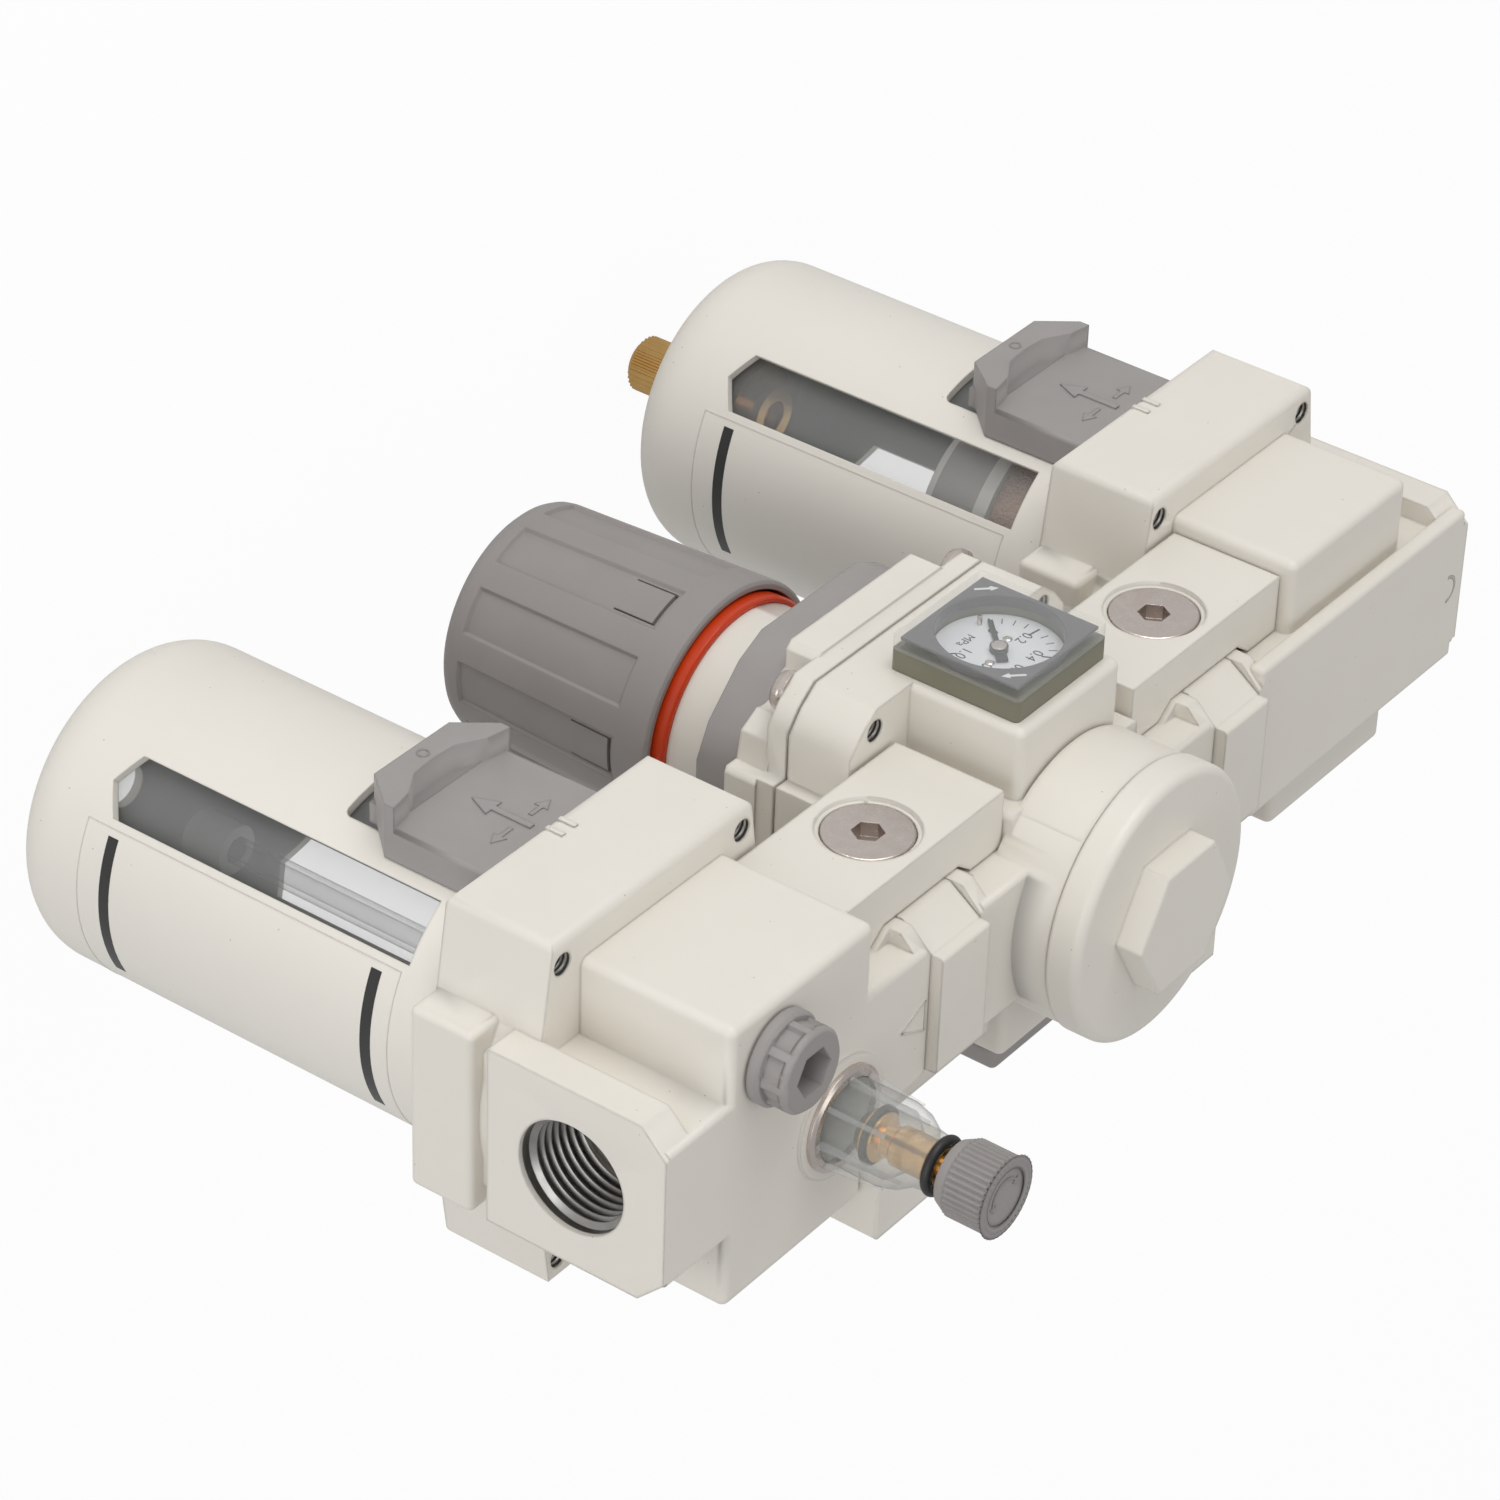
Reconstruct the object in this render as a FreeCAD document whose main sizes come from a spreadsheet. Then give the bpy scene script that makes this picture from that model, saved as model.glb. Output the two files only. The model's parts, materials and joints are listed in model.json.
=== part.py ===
"""Modular filter regulator lubricator for a 1/2 inch compressed air line.

Frame: X runs with the air, from the inlet mouth at X = 0 to the outlet mouth.
+Z is up, with the bowls and the pressure knob hanging down, and -Y is the front,
where the pressure gauge is. The port axis lies along Y = 0, Z = 0.
"""
import FreeCAD, Part
import math
import os
import Sketcher

Vector = FreeCAD.Vector

SIZES = {
    # row of units
    "pitch": 84.0,
    "unit_width": 70.0,
    "face_gap": 0.3,
    "fit_gap": 0.05,
    # air way
    "port_radius": 10.48,
    "port_depth": 16.0,
    "way_radius": 9.3,
    # cast body of the filter and of the lubricator
    "body_bottom": -33.0,
    "body_top": 18.6,
    "chamber_radius": 33.0,
    "lug_half_depth": 18.0,
    "lug_top": -20.2,
    "waist_inset": 3.0,
    "plate_bottom": -17.0,
    "plate_half_depth": 17.3,
    "plate_thickness": 7.0,
    "plate_corner": 5.0,
    "rim_half_depth": 16.2,
    "rim_thickness": 3.2,
    "rim_taper": 3.6,
    "arm_half_depth": 13.4,
    "hood_front": 34.5,
    "hood_half_width": 25.5,
    "hood_foot_half_width": 28.5,
    "hood_top": -11.5,
    "hood_screw_x": 23.2,
    "hood_screw_y": 29.6,
    "hood_screw_radius": 2.1,
    "hood_screw_depth": 11.0,
    "platform_front": 28.0,
    "platform_half_width": 18.7,
    "filter_platform_top": 14.0,
    "deck_thickness": 3.2,
    "deck_half_depth": 11.9,
    "filter_deck_half_depth": 15.8,
    "drop_offset": 18.7,
    "cast_round": 1.6,
    # bowls and bowl guards
    "guard_radius": 29.3,
    "guard_wall": 1.8,
    "guard_bottom": -127.0,
    "guard_top": -22.1,
    "guard_round": 10.0,
    "bowl_radius": 26.9,
    "bowl_wall": 2.4,
    "bowl_bottom": -123.2,
    "bowl_flange_thickness": 2.6,
    "bowl_seal_section": 1.15,
    "window_width": 11.5,
    "window_top": -41.5,
    "window_shoulder": -105.2,
    "window_tip": 3.0,
    "window_angle": 46.0,
    # lock buttons
    "button_half_width": 14.8,
    "button_front": 31.8,
    "button_length": 20.0,
    "thumb_half_width": 9.5,
    "thumb_length": 8.2,
    "thumb_front": 36.2,
    "thumb_arch": 3.8,
    "button_travel": 3.5,
    "slot_half_width": 11.3,
    "slot_bottom": -66.5,
    "lock_coil_radius": 1.0,
    "lock_wire_radius": 0.22,
    # filter insides
    "element_outer": 19.0,
    "element_inner": 15.0,
    "element_bottom": -52.0,
    "element_top": -20.6,
    "baffle_radius": 20.4,
    "baffle_bottom": -66.0,
    "tie_radius": 3.0,
    # drain
    "drain_bore": 6.1,
    "drain_knob_radius": 5.55,
    "drain_knob_bottom": -144.3,
    "drain_knob_length": 12.6,
    "drain_travel": 2.0,
    # regulator casting
    "joint_plane": -24.05,
    "diaphragm_thickness": 0.5,
    "bonnet_front": 33.9,
    "crown_front": 34.6,
    "bonnet_front_half": 24.0,
    "bonnet_side": 31.2,
    "gauge_size": 26.0,
    "gauge_centre_z": -3.9,
    "gauge_seat": 34.0,
    "boss_half_width": 14.6,
    "barrel_radius": 25.0,
    "barrel_bottom": 11.9,
    "barrel_top": 25.6,
    "core_half_depth": 20.0,
    "screw_x": 24.3,
    "screw_y": 29.7,
    "screw_radius": 2.05,
    # bonnet, knob and setting parts
    "flange_step": -28.5,
    "flange_bottom": -34.4,
    "neck_radius": 21.0,
    "neck_bottom": -61.5,
    "sleeve_radius": 17.4,
    "spring_bore": 15.3,
    "bonnet_floor": -70.6,
    "bonnet_end": -74.0,
    "panel_ring_half": 31.0,
    "panel_ring_corner": 13.5,
    "panel_ring_height": 8.6,
    "warning_ring_top": -57.2,
    "warning_ring_height": 3.0,
    "warning_ring_radius": 22.2,
    "knob_rim": -59.5,
    "knob_end": -107.8,
    "knob_rim_radius": 24.4,
    "knob_end_radius": 22.4,
    "knob_wall": 1.7,
    "knob_travel": 4.0,
    "spindle_radius": 5.0,
    "setting_thread_radius": 4.0,
    "nut_top": -62.2,
    "nut_height": 3.8,
    "nut_travel": 6.0,
    "range_coil_radius": 11.4,
    "range_wire_radius": 1.6,
    # diaphragm and valve
    "diaphragm_radius": 27.0,
    "plate_radius": 17.0,
    "valve_travel": 2.0,
    "valve_stem_radius": 2.92,
    "valve_seat_top": 2.0,
    "valve_coil_radius": 6.0,
    "valve_wire_radius": 0.6,
    "cap_radius": 25.4,
    "cap_face": 32.0,
    "cap_hex": 24.2,
    "cap_hex_top": 37.2,
    # gauge
    "gauge_case_depth": 4.0,
    "pointer_rest": 45.0,
    "gauge_front": 40.8,
    "dial_radius": 11.0,
    "blank_depth": 5.0,
    # spacers and clamps
    "spacer_half_depth": 16.2,
    "spacer_bottom": -14.0,
    "spacer_shoulder": 12.4,
    "spacer_flat": 11.8,
    "spacer_pad_top": 20.9,
    "spacer_pad_half_depth": 11.7,
    "clamp_half_width": 22.9,
    "clamp_bottom": -10.8,
    "clamp_top": 11.4,
    "clamp_front": 25.0,
    "clamp_inner": 16.6,
    "clamp_hook": 13.8,
    "clamp_hook_start": 14.2,
    "clamp_flat_half": 10.4,
    "clamp_head_radius": 8.0,
    "clamp_recess_radius": 9.0,
    "clamp_shank_radius": 3.95,
    "clamp_tab_rear": 36.5,
    "clamp_tab_top": 21.5,
    "clamp_tab_start": 4.6,
    # lubricator top
    "plug_x": 7.3,
    "plug_y": -17.2,
    "plug_flange_radius": 8.3,
    "plug_head_radius": 7.5,
    "plug_height": 7.6,
    "plug_thread_radius": 6.0,
    "dome_x": -11.1,
    "dome_y": 6.5,
    "dome_radius": 7.6,
    "dome_ring_radius": 9.6,
    "dome_top": 38.0,
    "needle_knob_bottom": 41.4,
    "needle_knob_top": 51.6,
    "needle_knob_radius": 6.9,
    "needle_travel": 1.0,
    "tube_radius": 2.5,
}


class Size:
    """A length that keeps its number and the sheet expression it comes from."""

    def __init__(self, value, text):
        self.value = value
        self.text = text

    @staticmethod
    def of(other):
        if isinstance(other, Size):
            return other
        return Size(float(other), repr(float(other)))

    def _join(self, other, sign, value):
        return Size(value, f"({self.text} {sign} {Size.of(other).text})")

    def __add__(self, other):
        return self._join(other, "+", self.value + Size.of(other).value)

    def __radd__(self, other):
        return Size.of(other) + self

    def __sub__(self, other):
        return self._join(other, "-", self.value - Size.of(other).value)

    def __rsub__(self, other):
        return Size.of(other) - self

    def __mul__(self, other):
        return self._join(other, "*", self.value * Size.of(other).value)

    def __rmul__(self, other):
        return Size.of(other) * self

    def __truediv__(self, other):
        return self._join(other, "/", self.value / Size.of(other).value)

    def __neg__(self):
        return self * -1.0


def number(size):
    return Size.of(size).value


def text(size):
    return Size.of(size).text


class Dimensions:
    """The named sizes, read as attributes."""


doc = FreeCAD.newDocument("filter_regulator_lubricator")
sheet = doc.addObject("Spreadsheet::Sheet", "dims")
d = Dimensions()
for row, (alias, value) in enumerate(SIZES.items(), start=1):
    sheet.set(f"A{row}", alias.replace("_", " "))
    sheet.set(f"B{row}", str(value))
    sheet.setAlias(f"B{row}", alias)
    setattr(d, alias, Size(value, f"dims.{alias}"))
doc.recompute()

NODES = []


def label_node(feature, label):
    """Names a finished sub-part, whose label is its file's name."""
    feature.Label = label
    NODES.append(feature)
    return feature


def put(feature, x=0, y=0, z=0):
    """Binds a feature's position to the sheet."""
    for axis, size in zip("xyz", (x, y, z)):
        feature.setExpression(f"Placement.Base.{axis}", text(size))
    return feature


def aim(feature, direction):
    """Turns a feature's own Z axis to +X, -Y, +Y or another direction."""
    turn = FreeCAD.Rotation(Vector(0, 0, 1), Vector(*direction))
    feature.Placement = FreeCAD.Placement(feature.Placement.Base, turn)
    return feature


# ---------------------------------------------------------------- primitives


def round_edges(feature, radius, choose):
    """Part fillet on the edges that choose() accepts."""
    doc.recompute()
    picked = [i for i, edge in enumerate(feature.Shape.Edges, start=1) if choose(edge)]
    fillet = doc.addObject("Part::Fillet", feature.Name + "_round")
    fillet.Base = feature
    fillet.Edges = [(i, number(radius), number(radius)) for i in picked]
    return fillet


def runs_along(axes):
    """Chooses straight edges that run along one of the named axes."""
    def choose(edge):
        if edge.Curve.TypeId != "Part::GeomLine":
            return False
        way = edge.Vertexes[-1].Point - edge.Vertexes[0].Point
        way.normalize()
        return any(abs(getattr(way, axis)) > 0.98 for axis in axes)
    return choose


def block(name, x, y, z, radius=0, along="xyz"):
    """A box between pairs of sizes, with its edges along the named axes rounded."""
    box = doc.addObject("Part::Box", name)
    for prop, (low, high) in zip(("Length", "Width", "Height"), (x, y, z)):
        box.setExpression(prop, text(Size.of(high) - low))
    put(box, x[0], y[0], z[0])
    return round_edges(box, radius, runs_along(along)) if number(radius) else box


def rod(name, radius, length, x=0, y=0, z=0, way=(0, 0, 1)):
    """A cylinder from a point, running a length in a direction."""
    cylinder = doc.addObject("Part::Cylinder", name)
    cylinder.setExpression("Radius", text(radius))
    cylinder.setExpression("Height", text(length))
    aim(cylinder, way)
    return put(cylinder, x, y, z)


def ring(name, radius, section, x=0, y=0, z=0, way=(0, 0, 1)):
    """An O-ring: a torus about a direction."""
    torus = doc.addObject("Part::Torus", name)
    torus.setExpression("Radius1", text(radius))
    torus.setExpression("Radius2", text(section))
    aim(torus, way)
    return put(torus, x, y, z)


def join(name, *parts):
    if len(parts) == 1:
        return parts[0]
    fusion = doc.addObject("Part::MultiFuse", name)
    fusion.Shapes = list(parts)
    fusion.Refine = True
    return fusion


def group(name, *parts):
    """Several separate solids in one node."""
    compound = doc.addObject("Part::Compound", name)
    compound.Links = list(parts)
    return compound


def carve(name, base, *tools):
    cut = doc.addObject("Part::Cut", name)
    cut.Base = base
    cut.Tool = tools[0] if len(tools) == 1 else join(name + "_tools", *tools)
    cut.Refine = True
    return cut


def closed_sketch(body, plane_role, points):
    """A closed outline of straight lines, each corner bound to its two sizes."""
    sketch = body.newObject("Sketcher::SketchObject", body.Name + "_outline")
    plane = [f for f in body.Origin.OriginFeatures if f.Role == plane_role][0]
    sketch.AttachmentSupport = [(plane, "")]
    sketch.MapMode = "FlatFace"
    corners = [Vector(number(a), number(b), 0) for a, b in points]
    count = len(corners)
    for i in range(count):
        sketch.addGeometry(Part.LineSegment(corners[i], corners[(i + 1) % count]))
    for i in range(count):
        sketch.addConstraint(Sketcher.Constraint("Coincident", i, 2, (i + 1) % count, 1))
    for i, pair in enumerate(points):
        for kind, size in zip(("DistanceX", "DistanceY"), pair):
            rule = Sketcher.Constraint(kind, -1, 1, i, 1, number(size))
            index = sketch.addConstraint(rule)
            sketch.setExpression(f"Constraints[{index}]", text(size))
    return sketch


def turned(name, profile, rounds=()):
    """A lathe-turned body about its own Z axis, from (radius, height) corners.

    rounds lists (radius, height, fillet radius) of circular edges to round."""
    body = doc.addObject("PartDesign::Body", name)
    sketch = closed_sketch(body, "XZ_Plane", profile)
    turn = body.newObject("PartDesign::Revolution", name + "_turn")
    turn.Profile = sketch
    turn.ReferenceAxis = (sketch, ["V_Axis"])
    turn.Angle = 360
    doc.recompute()
    for index, (radius, height, fillet) in enumerate(rounds):
        base = body.Tip
        edges = [f"Edge{i}" for i, edge in enumerate(base.Shape.Edges, start=1)
                 if edge.Curve.TypeId == "Part::GeomCircle"
                 and abs(edge.Curve.Radius - number(radius)) < 0.01
                 and abs(edge.Curve.Center.z - number(height)) < 0.01]
        soft = body.newObject("PartDesign::Fillet", f"{name}_round{index}")
        soft.Base = (base, edges)
        soft.setExpression("Radius", text(fillet))
        body.Tip = soft
        doc.recompute()
    return body


def pressed(name, points, length, plane_role="XY_Plane"):
    """A straight-sided body: an outline on one of its own planes, padded."""
    body = doc.addObject("PartDesign::Body", name)
    sketch = closed_sketch(body, plane_role, points)
    pad = body.newObject("PartDesign::Pad", name + "_pad")
    pad.Profile = sketch
    pad.setExpression("Length", text(length))
    doc.recompute()
    return body


def mirrored_outline(quarter):
    """Completes an outline drawn for +x, -y, from front to side, to all four corners."""
    right = quarter + [(x, -Size.of(y)) for x, y in reversed(quarter)]
    left = [(-Size.of(x), y) for x, y in reversed(right)]
    return right + left


def coil(name, radius, wire, height, turns, x, y, z):
    """A compression spring swept along a helix."""
    helix = doc.addObject("Part::Helix", name + "_line")
    helix.setExpression("Radius", text(radius))
    helix.setExpression("Height", text(height))
    helix.setExpression("Pitch", text(Size.of(height) / turns))
    circle = doc.addObject("Part::Circle", name + "_wire")
    circle.setExpression("Radius", text(wire))
    aim(circle, (0, 1, 0))
    put(circle, radius)
    sweep = doc.addObject("Part::Sweep", name)
    sweep.Sections = [circle]
    sweep.Spine = (helix, ["Edge1"])
    sweep.Solid = True
    sweep.Frenet = True
    return put(sweep, x, y, z)


def span(low, high):
    return (Size.of(low), Size.of(high))


def both(half):
    return (-Size.of(half), Size.of(half))


# ------------------------------------------------------------ derived places

half_unit = d.unit_width / 2
filter_x = half_unit
regulator_x = filter_x + d.pitch
lubricator_x = regulator_x + d.pitch
joint_gap = d.pitch - d.unit_width
spacer_x = (filter_x + d.pitch / 2, regulator_x + d.pitch / 2)
body_height = d.body_top - d.body_bottom
MARGIN = 1.0
OVER = 4.0

# ---------------------------------------------------------------- castings


def end_plate(name, x, side, half_depth, thickness, corner):
    """A flange at the end of an arm, with its two upper corners cut off."""
    top = d.body_top
    points = [(-half_depth, d.plate_bottom), (half_depth, d.plate_bottom),
              (half_depth, top - corner), (half_depth - corner, top),
              (-(half_depth - corner), top), (-half_depth, top - corner)]
    plate = pressed(name, points, thickness, "YZ_Plane")
    start = x + half_unit - thickness if side > 0 else x - half_unit
    return put(plate, start)


def arm(name, x, port_side):
    """The air way's casting, with a port plate or a clamp rim at each end."""
    middle = block(name + "_bar", span(x - half_unit + MARGIN, x + half_unit - MARGIN),
                   both(d.arm_half_depth), span(d.plate_bottom, d.body_top), 1.0, "x")
    parts = [middle]
    for side in (-1, 1):
        is_port = side == port_side
        half = d.plate_half_depth if is_port else d.rim_half_depth
        thick = d.plate_thickness if is_port else d.rim_thickness
        corner = d.plate_corner if is_port else d.plate_corner - 1.0
        tag = "port" if is_port else "rim"
        parts.append(end_plate(f"{name}_{tag}{side + 1}", x, side, half, thick, corner))
        if not is_port:
            outer, inner = half_unit - thick, half_unit - thick - d.rim_taper
            outline = [(side * inner, -d.arm_half_depth), (side * outer, -half),
                       (side * outer, half), (side * inner, d.arm_half_depth)]
            taper = pressed(f"{name}_taper{side + 1}", outline, d.spacer_shoulder - d.plate_bottom)
            parts.append(put(taper, x, 0, d.plate_bottom))
    return parts


def hood(name, x, front):
    """A drafted block over the bowl's lock, on the front or the back of a body."""
    wedge = doc.addObject("Part::Wedge", name)
    wedge.Ymin = 0
    wedge.Xmin = 0
    wedge.Zmin = 0
    foot = 15.0
    wedge.setExpression("Ymax", text(d.hood_front - foot))
    wedge.setExpression("Xmax", text(2 * d.hood_foot_half_width))
    wedge.setExpression("Zmax", text(d.hood_top - d.body_bottom))
    wedge.setExpression("X2min", text(d.hood_foot_half_width - d.hood_half_width))
    wedge.setExpression("X2max", text(d.hood_foot_half_width + d.hood_half_width))
    wedge.Z2min = 0
    wedge.setExpression("Z2max", text(d.hood_top - d.body_bottom))
    if front:
        turn = FreeCAD.Rotation(Vector(0, 0, 1), 180)
        wedge.Placement = FreeCAD.Placement(Vector(), turn)
        put(wedge, x + d.hood_foot_half_width, -foot, d.body_bottom)
    else:
        put(wedge, x - d.hood_foot_half_width, foot, d.body_bottom)
    front_y = number(d.hood_front)

    def choose(edge):
        return all(abs(abs(v.Point.y) - front_y) < 0.01 for v in edge.Vertexes)
    return round_edges(wedge, 1.8, choose)


def bowl_body(name, x, port_side, platform_top, deck_half, way_through):
    """The casting that carries a bowl: hoods, lugs, arms and its platform."""
    solids = arm(name, x, port_side)
    solids.append(rod(name + "_chamber", d.chamber_radius,
                      d.hood_top - d.body_bottom, x, 0, d.body_bottom))
    solids.append(block(name + "_lugs", span(x - half_unit, x + half_unit),
                        both(d.lug_half_depth), span(d.body_bottom, d.lug_top), 1.2))
    solids.append(block(name + "_waist",
                        span(x - half_unit + d.waist_inset, x + half_unit - d.waist_inset),
                        both(d.arm_half_depth),
                        span(d.lug_top - MARGIN, d.plate_bottom + MARGIN)))
    for front in (True, False):
        solids.append(hood(f"{name}_hood{int(front)}", x, front))
    solids.append(block(name + "_platform", span(x - d.platform_half_width, x + d.platform_half_width),
                        both(d.platform_front), span(d.hood_top - MARGIN, platform_top), d.cast_round))
    solids.append(block(name + "_deck", span(x - half_unit + MARGIN, x + half_unit - MARGIN),
                        both(deck_half), span(d.body_top - d.deck_thickness, d.body_top),
                        1.0))
    cast = join(name + "_cast", *solids)
    hollow = d.guard_radius + d.face_gap
    cavity = turned(name + "_cavity", [
        (0, d.body_bottom - MARGIN), (hollow, d.body_bottom - MARGIN),
        (hollow, d.guard_top + d.bowl_flange_thickness + 0.5),
        (hollow - 1.9, d.guard_top + d.bowl_flange_thickness + 0.5),
        (hollow - 1.9, d.hood_top - 4.7), (22.4, d.hood_top - 4.7), (22.4, d.hood_top - 2.4),
        (0, d.hood_top - 2.4)])
    tools = [put(cavity, x)]
    outer = x + port_side * half_unit
    tools.append(rod(name + "_way", d.way_radius, half_unit - 6 + MARGIN,
                     x - port_side * 6, 0, 0, (-port_side, 0, 0)))
    tools.append(rod(name + "_port", d.port_radius, d.port_depth + MARGIN,
                     outer + port_side * MARGIN, 0, 0, (-port_side, 0, 0)))
    tools.append(rod(name + "_inner_way", d.way_radius - 0.7, half_unit - d.port_depth - 5,
                     outer - port_side * (d.port_depth - MARGIN), 0, 0, (-port_side, 0, 0)))
    tools.append(rod(name + "_drop", 3.6, 16.0, x - port_side * way_through * d.drop_offset
                     + port_side * (1 - way_through) * d.drop_offset, 0, d.hood_top - 3.4))
    if way_through:
        tools.append(rod(name + "_middle_way", d.way_radius, 14.0, x - 7, 0, 0, (1, 0, 0)))
    else:
        tools.append(rod(name + "_riser", 3.6, 15.0, x - port_side * 9.4, 0, d.hood_top - 3.4))
    for sx in (-1, 1):
        for sy in (-1, 1):
            tools.append(rod(f"{name}_screw{sx + 1}{sy + 1}", d.hood_screw_radius,
                             d.hood_screw_depth + MARGIN, x + sx * d.hood_screw_x,
                             sy * d.hood_screw_y, d.hood_top - d.hood_screw_depth))
    return cast, tools


def guide_marks(name, x):
    """The two short ticks on the lower edge of the front hood, for the lock button."""
    return [block(f"{name}{side + 1}", span(x + side * 1.6 - 0.5, x + side * 1.6 + 0.5),
                  span(-d.hood_front - 0.35, -d.hood_front + 0.8),
                  span(d.body_bottom + 0.9, d.body_bottom + 4.4)) for side in (-1, 1)]


def regulator_outline():
    """Outline shared by the bonnet flange and the top of the regulator body."""
    corner_y = d.bonnet_front - 3.0
    return mirrored_outline([
        (d.bonnet_front_half, -d.bonnet_front), (d.bonnet_front_half + 4.0, -corner_y),
        (d.bonnet_side, -corner_y + 4.0), (d.bonnet_side, -d.lug_half_depth),
        (half_unit - 0.6, -d.lug_half_depth), (half_unit - 0.6, -d.plate_half_depth + 1.0)])


def valve_way():
    """The valve chamber, seat orifice and diaphragm chamber on the vertical axis."""
    return turned("valve_way", [
        (0, d.joint_plane - MARGIN), (25.0, d.joint_plane - MARGIN), (25.0, d.joint_plane + 4.2),
        (d.valve_stem_radius + 0.08, d.joint_plane + 4.2), (d.valve_stem_radius + 0.08, -12.0),
        (12.5, -12.0), (12.5, -3.5), (8.0, -3.5), (8.0, d.valve_seat_top),
        (12.5, d.valve_seat_top), (12.5, 14.0), (21.3, 14.0), (21.3, d.barrel_top + MARGIN),
        (0, d.barrel_top + MARGIN)])


# filter body
cast, tools = bowl_body("filter_cast", filter_x, -1, d.filter_platform_top,
                        d.filter_deck_half_depth, 0)
tools.append(rod("filter_tie_hole", d.tie_radius + d.fit_gap, 9.0, filter_x, 0, d.hood_top - 3.4))
marked = join("filter_marked", cast, *guide_marks("filter_tick", filter_x))
label_node(carve("filter_casting", marked, *tools), "filter_body")

# lubricator body
plug_x = lubricator_x + d.plug_x
dome_x = lubricator_x + d.dome_x
cast, tools = bowl_body("lubricator_cast", lubricator_x, 1, d.body_top, d.deck_half_depth, 1)
seat = rod("dome_seat", d.dome_ring_radius + 1.6, 2.0, dome_x, d.dome_y, d.body_top - 1.4)
tools.append(rod("plug_hole", d.plug_thread_radius + d.fit_gap, d.body_top - d.hood_top + 5,
                 plug_x, d.plug_y, d.hood_top - 3.4))
tools.append(rod("dome_pocket", d.dome_ring_radius - 1.6, 9.0, dome_x, d.dome_y, d.body_top - 7.4))
tools.append(rod("drip_hole", 1.5, 12.0, dome_x, d.dome_y, d.body_top - 18.0))
tube_x = lubricator_x - 8.0
tools.append(rod("tube_hole", d.tube_radius + d.fit_gap, 6.0, tube_x, 10.0, d.hood_top - 3.4))
marked = join("lubricator_marked", cast, seat, *guide_marks("lubricator_tick", lubricator_x))
label_node(carve("lubricator_casting", marked, *tools), "lubricator_body")

# regulator body
base_height = d.hood_top - d.joint_plane
shoulder = pressed("regulator_shoulder", regulator_outline(), base_height)
put(shoulder, regulator_x, 0, d.joint_plane)
solids = [shoulder]
solids += arm("regulator_arm", regulator_x, 0)
solids.append(block("regulator_core",
                    span(regulator_x - d.platform_half_width, regulator_x + d.platform_half_width),
                    both(d.core_half_depth), span(d.hood_top - MARGIN, d.barrel_bottom + MARGIN), 1.0, "z"))
solids.append(block("gauge_boss",
                    span(regulator_x - d.boss_half_width, regulator_x + d.boss_half_width),
                    both(d.gauge_seat), span(d.gauge_centre_z - d.gauge_size / 2 - 0.8, d.clamp_top),
                    d.cast_round))
solids.append(rod("cap_barrel", d.barrel_radius, d.barrel_top - d.barrel_bottom,
                  regulator_x, 0, d.barrel_bottom))
cast = join("regulator_cast", *solids)
tools = [put(valve_way(), regulator_x)]
for side in (-1, 1):
    tools.append(rod(f"regulator_way{side + 1}", d.way_radius, half_unit - 15 + MARGIN,
                     regulator_x + side * 15, 0, 0, (side, 0, 0)))
    for sy in (-1, 1):
        tools.append(rod(f"bonnet_hole{side + 1}{sy + 1}", d.screw_radius + d.fit_gap,
                         base_height + 2 * MARGIN, regulator_x + side * d.screw_x, sy * d.screw_y,
                         d.joint_plane - MARGIN))
tools.append(block("inlet_slot", span(regulator_x - 16, regulator_x - 10), both(6.0), span(3.5, 8.0)))
tools.append(block("outlet_slot", span(regulator_x + 10, regulator_x + 16), both(6.0), span(-9.0, -4.5)))
gauge_socket_radius = 5.0
blank_socket_radius = 8.0
tools.append(rod("gauge_socket", gauge_socket_radius + d.fit_gap, 6.0 + MARGIN, regulator_x,
                 -d.gauge_seat - MARGIN, d.gauge_centre_z, (0, 1, 0)))
tools.append(rod("gauge_way", 1.5, 20.0, regulator_x, -d.gauge_seat + 4, d.gauge_centre_z, (0, 1, 0)))
tools.append(rod("blank_socket", blank_socket_radius + d.fit_gap, 4.0 + MARGIN, regulator_x,
                 d.gauge_seat + MARGIN, d.gauge_centre_z, (0, -1, 0)))
label_node(carve("regulator_casting", cast, *tools), "regulator_body")

# ------------------------------------------------------- bowls and guards


def bowl_guard(name, x, bottom_hole):
    """The metal cover of a bowl, with two sight windows and the lock button's slot."""
    inner = d.guard_radius - d.guard_wall
    shell = turned(name + "_shell", [
        (bottom_hole, d.guard_bottom), (d.guard_radius, d.guard_bottom),
        (d.guard_radius, d.guard_top), (inner, d.guard_top), (inner, d.guard_bottom + d.guard_wall),
        (bottom_hole, d.guard_bottom + d.guard_wall)],
        [(d.guard_radius, d.guard_bottom, d.guard_round),
         (inner, d.guard_bottom + d.guard_wall, d.guard_round - d.guard_wall)])
    put(shell, x)
    half = d.window_width / 2
    window = pressed(name + "_window", [
        (-half, d.window_top), (half, d.window_top), (half, d.window_shoulder),
        (0, d.window_shoulder - d.window_tip), (-half, d.window_shoulder)], 2 * d.guard_radius + 4,
        "XZ_Plane")
    turn = FreeCAD.Rotation(Vector(0, 0, 1), number(d.window_angle))
    reach = d.guard_radius + 2
    radians = math.radians(number(d.window_angle))
    window.Placement = FreeCAD.Placement(Vector(), turn)
    put(window, x - math.sin(radians) * reach, math.cos(radians) * reach)
    slot = block(name + "_slot", span(x - d.slot_half_width, x + d.slot_half_width),
                 span(-d.guard_radius - MARGIN, -d.guard_radius / 2),
                 span(d.slot_bottom, d.slot_bottom + 22.0), 1.5, "y")
    return carve(name + "_cut", shell, window, slot)


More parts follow.
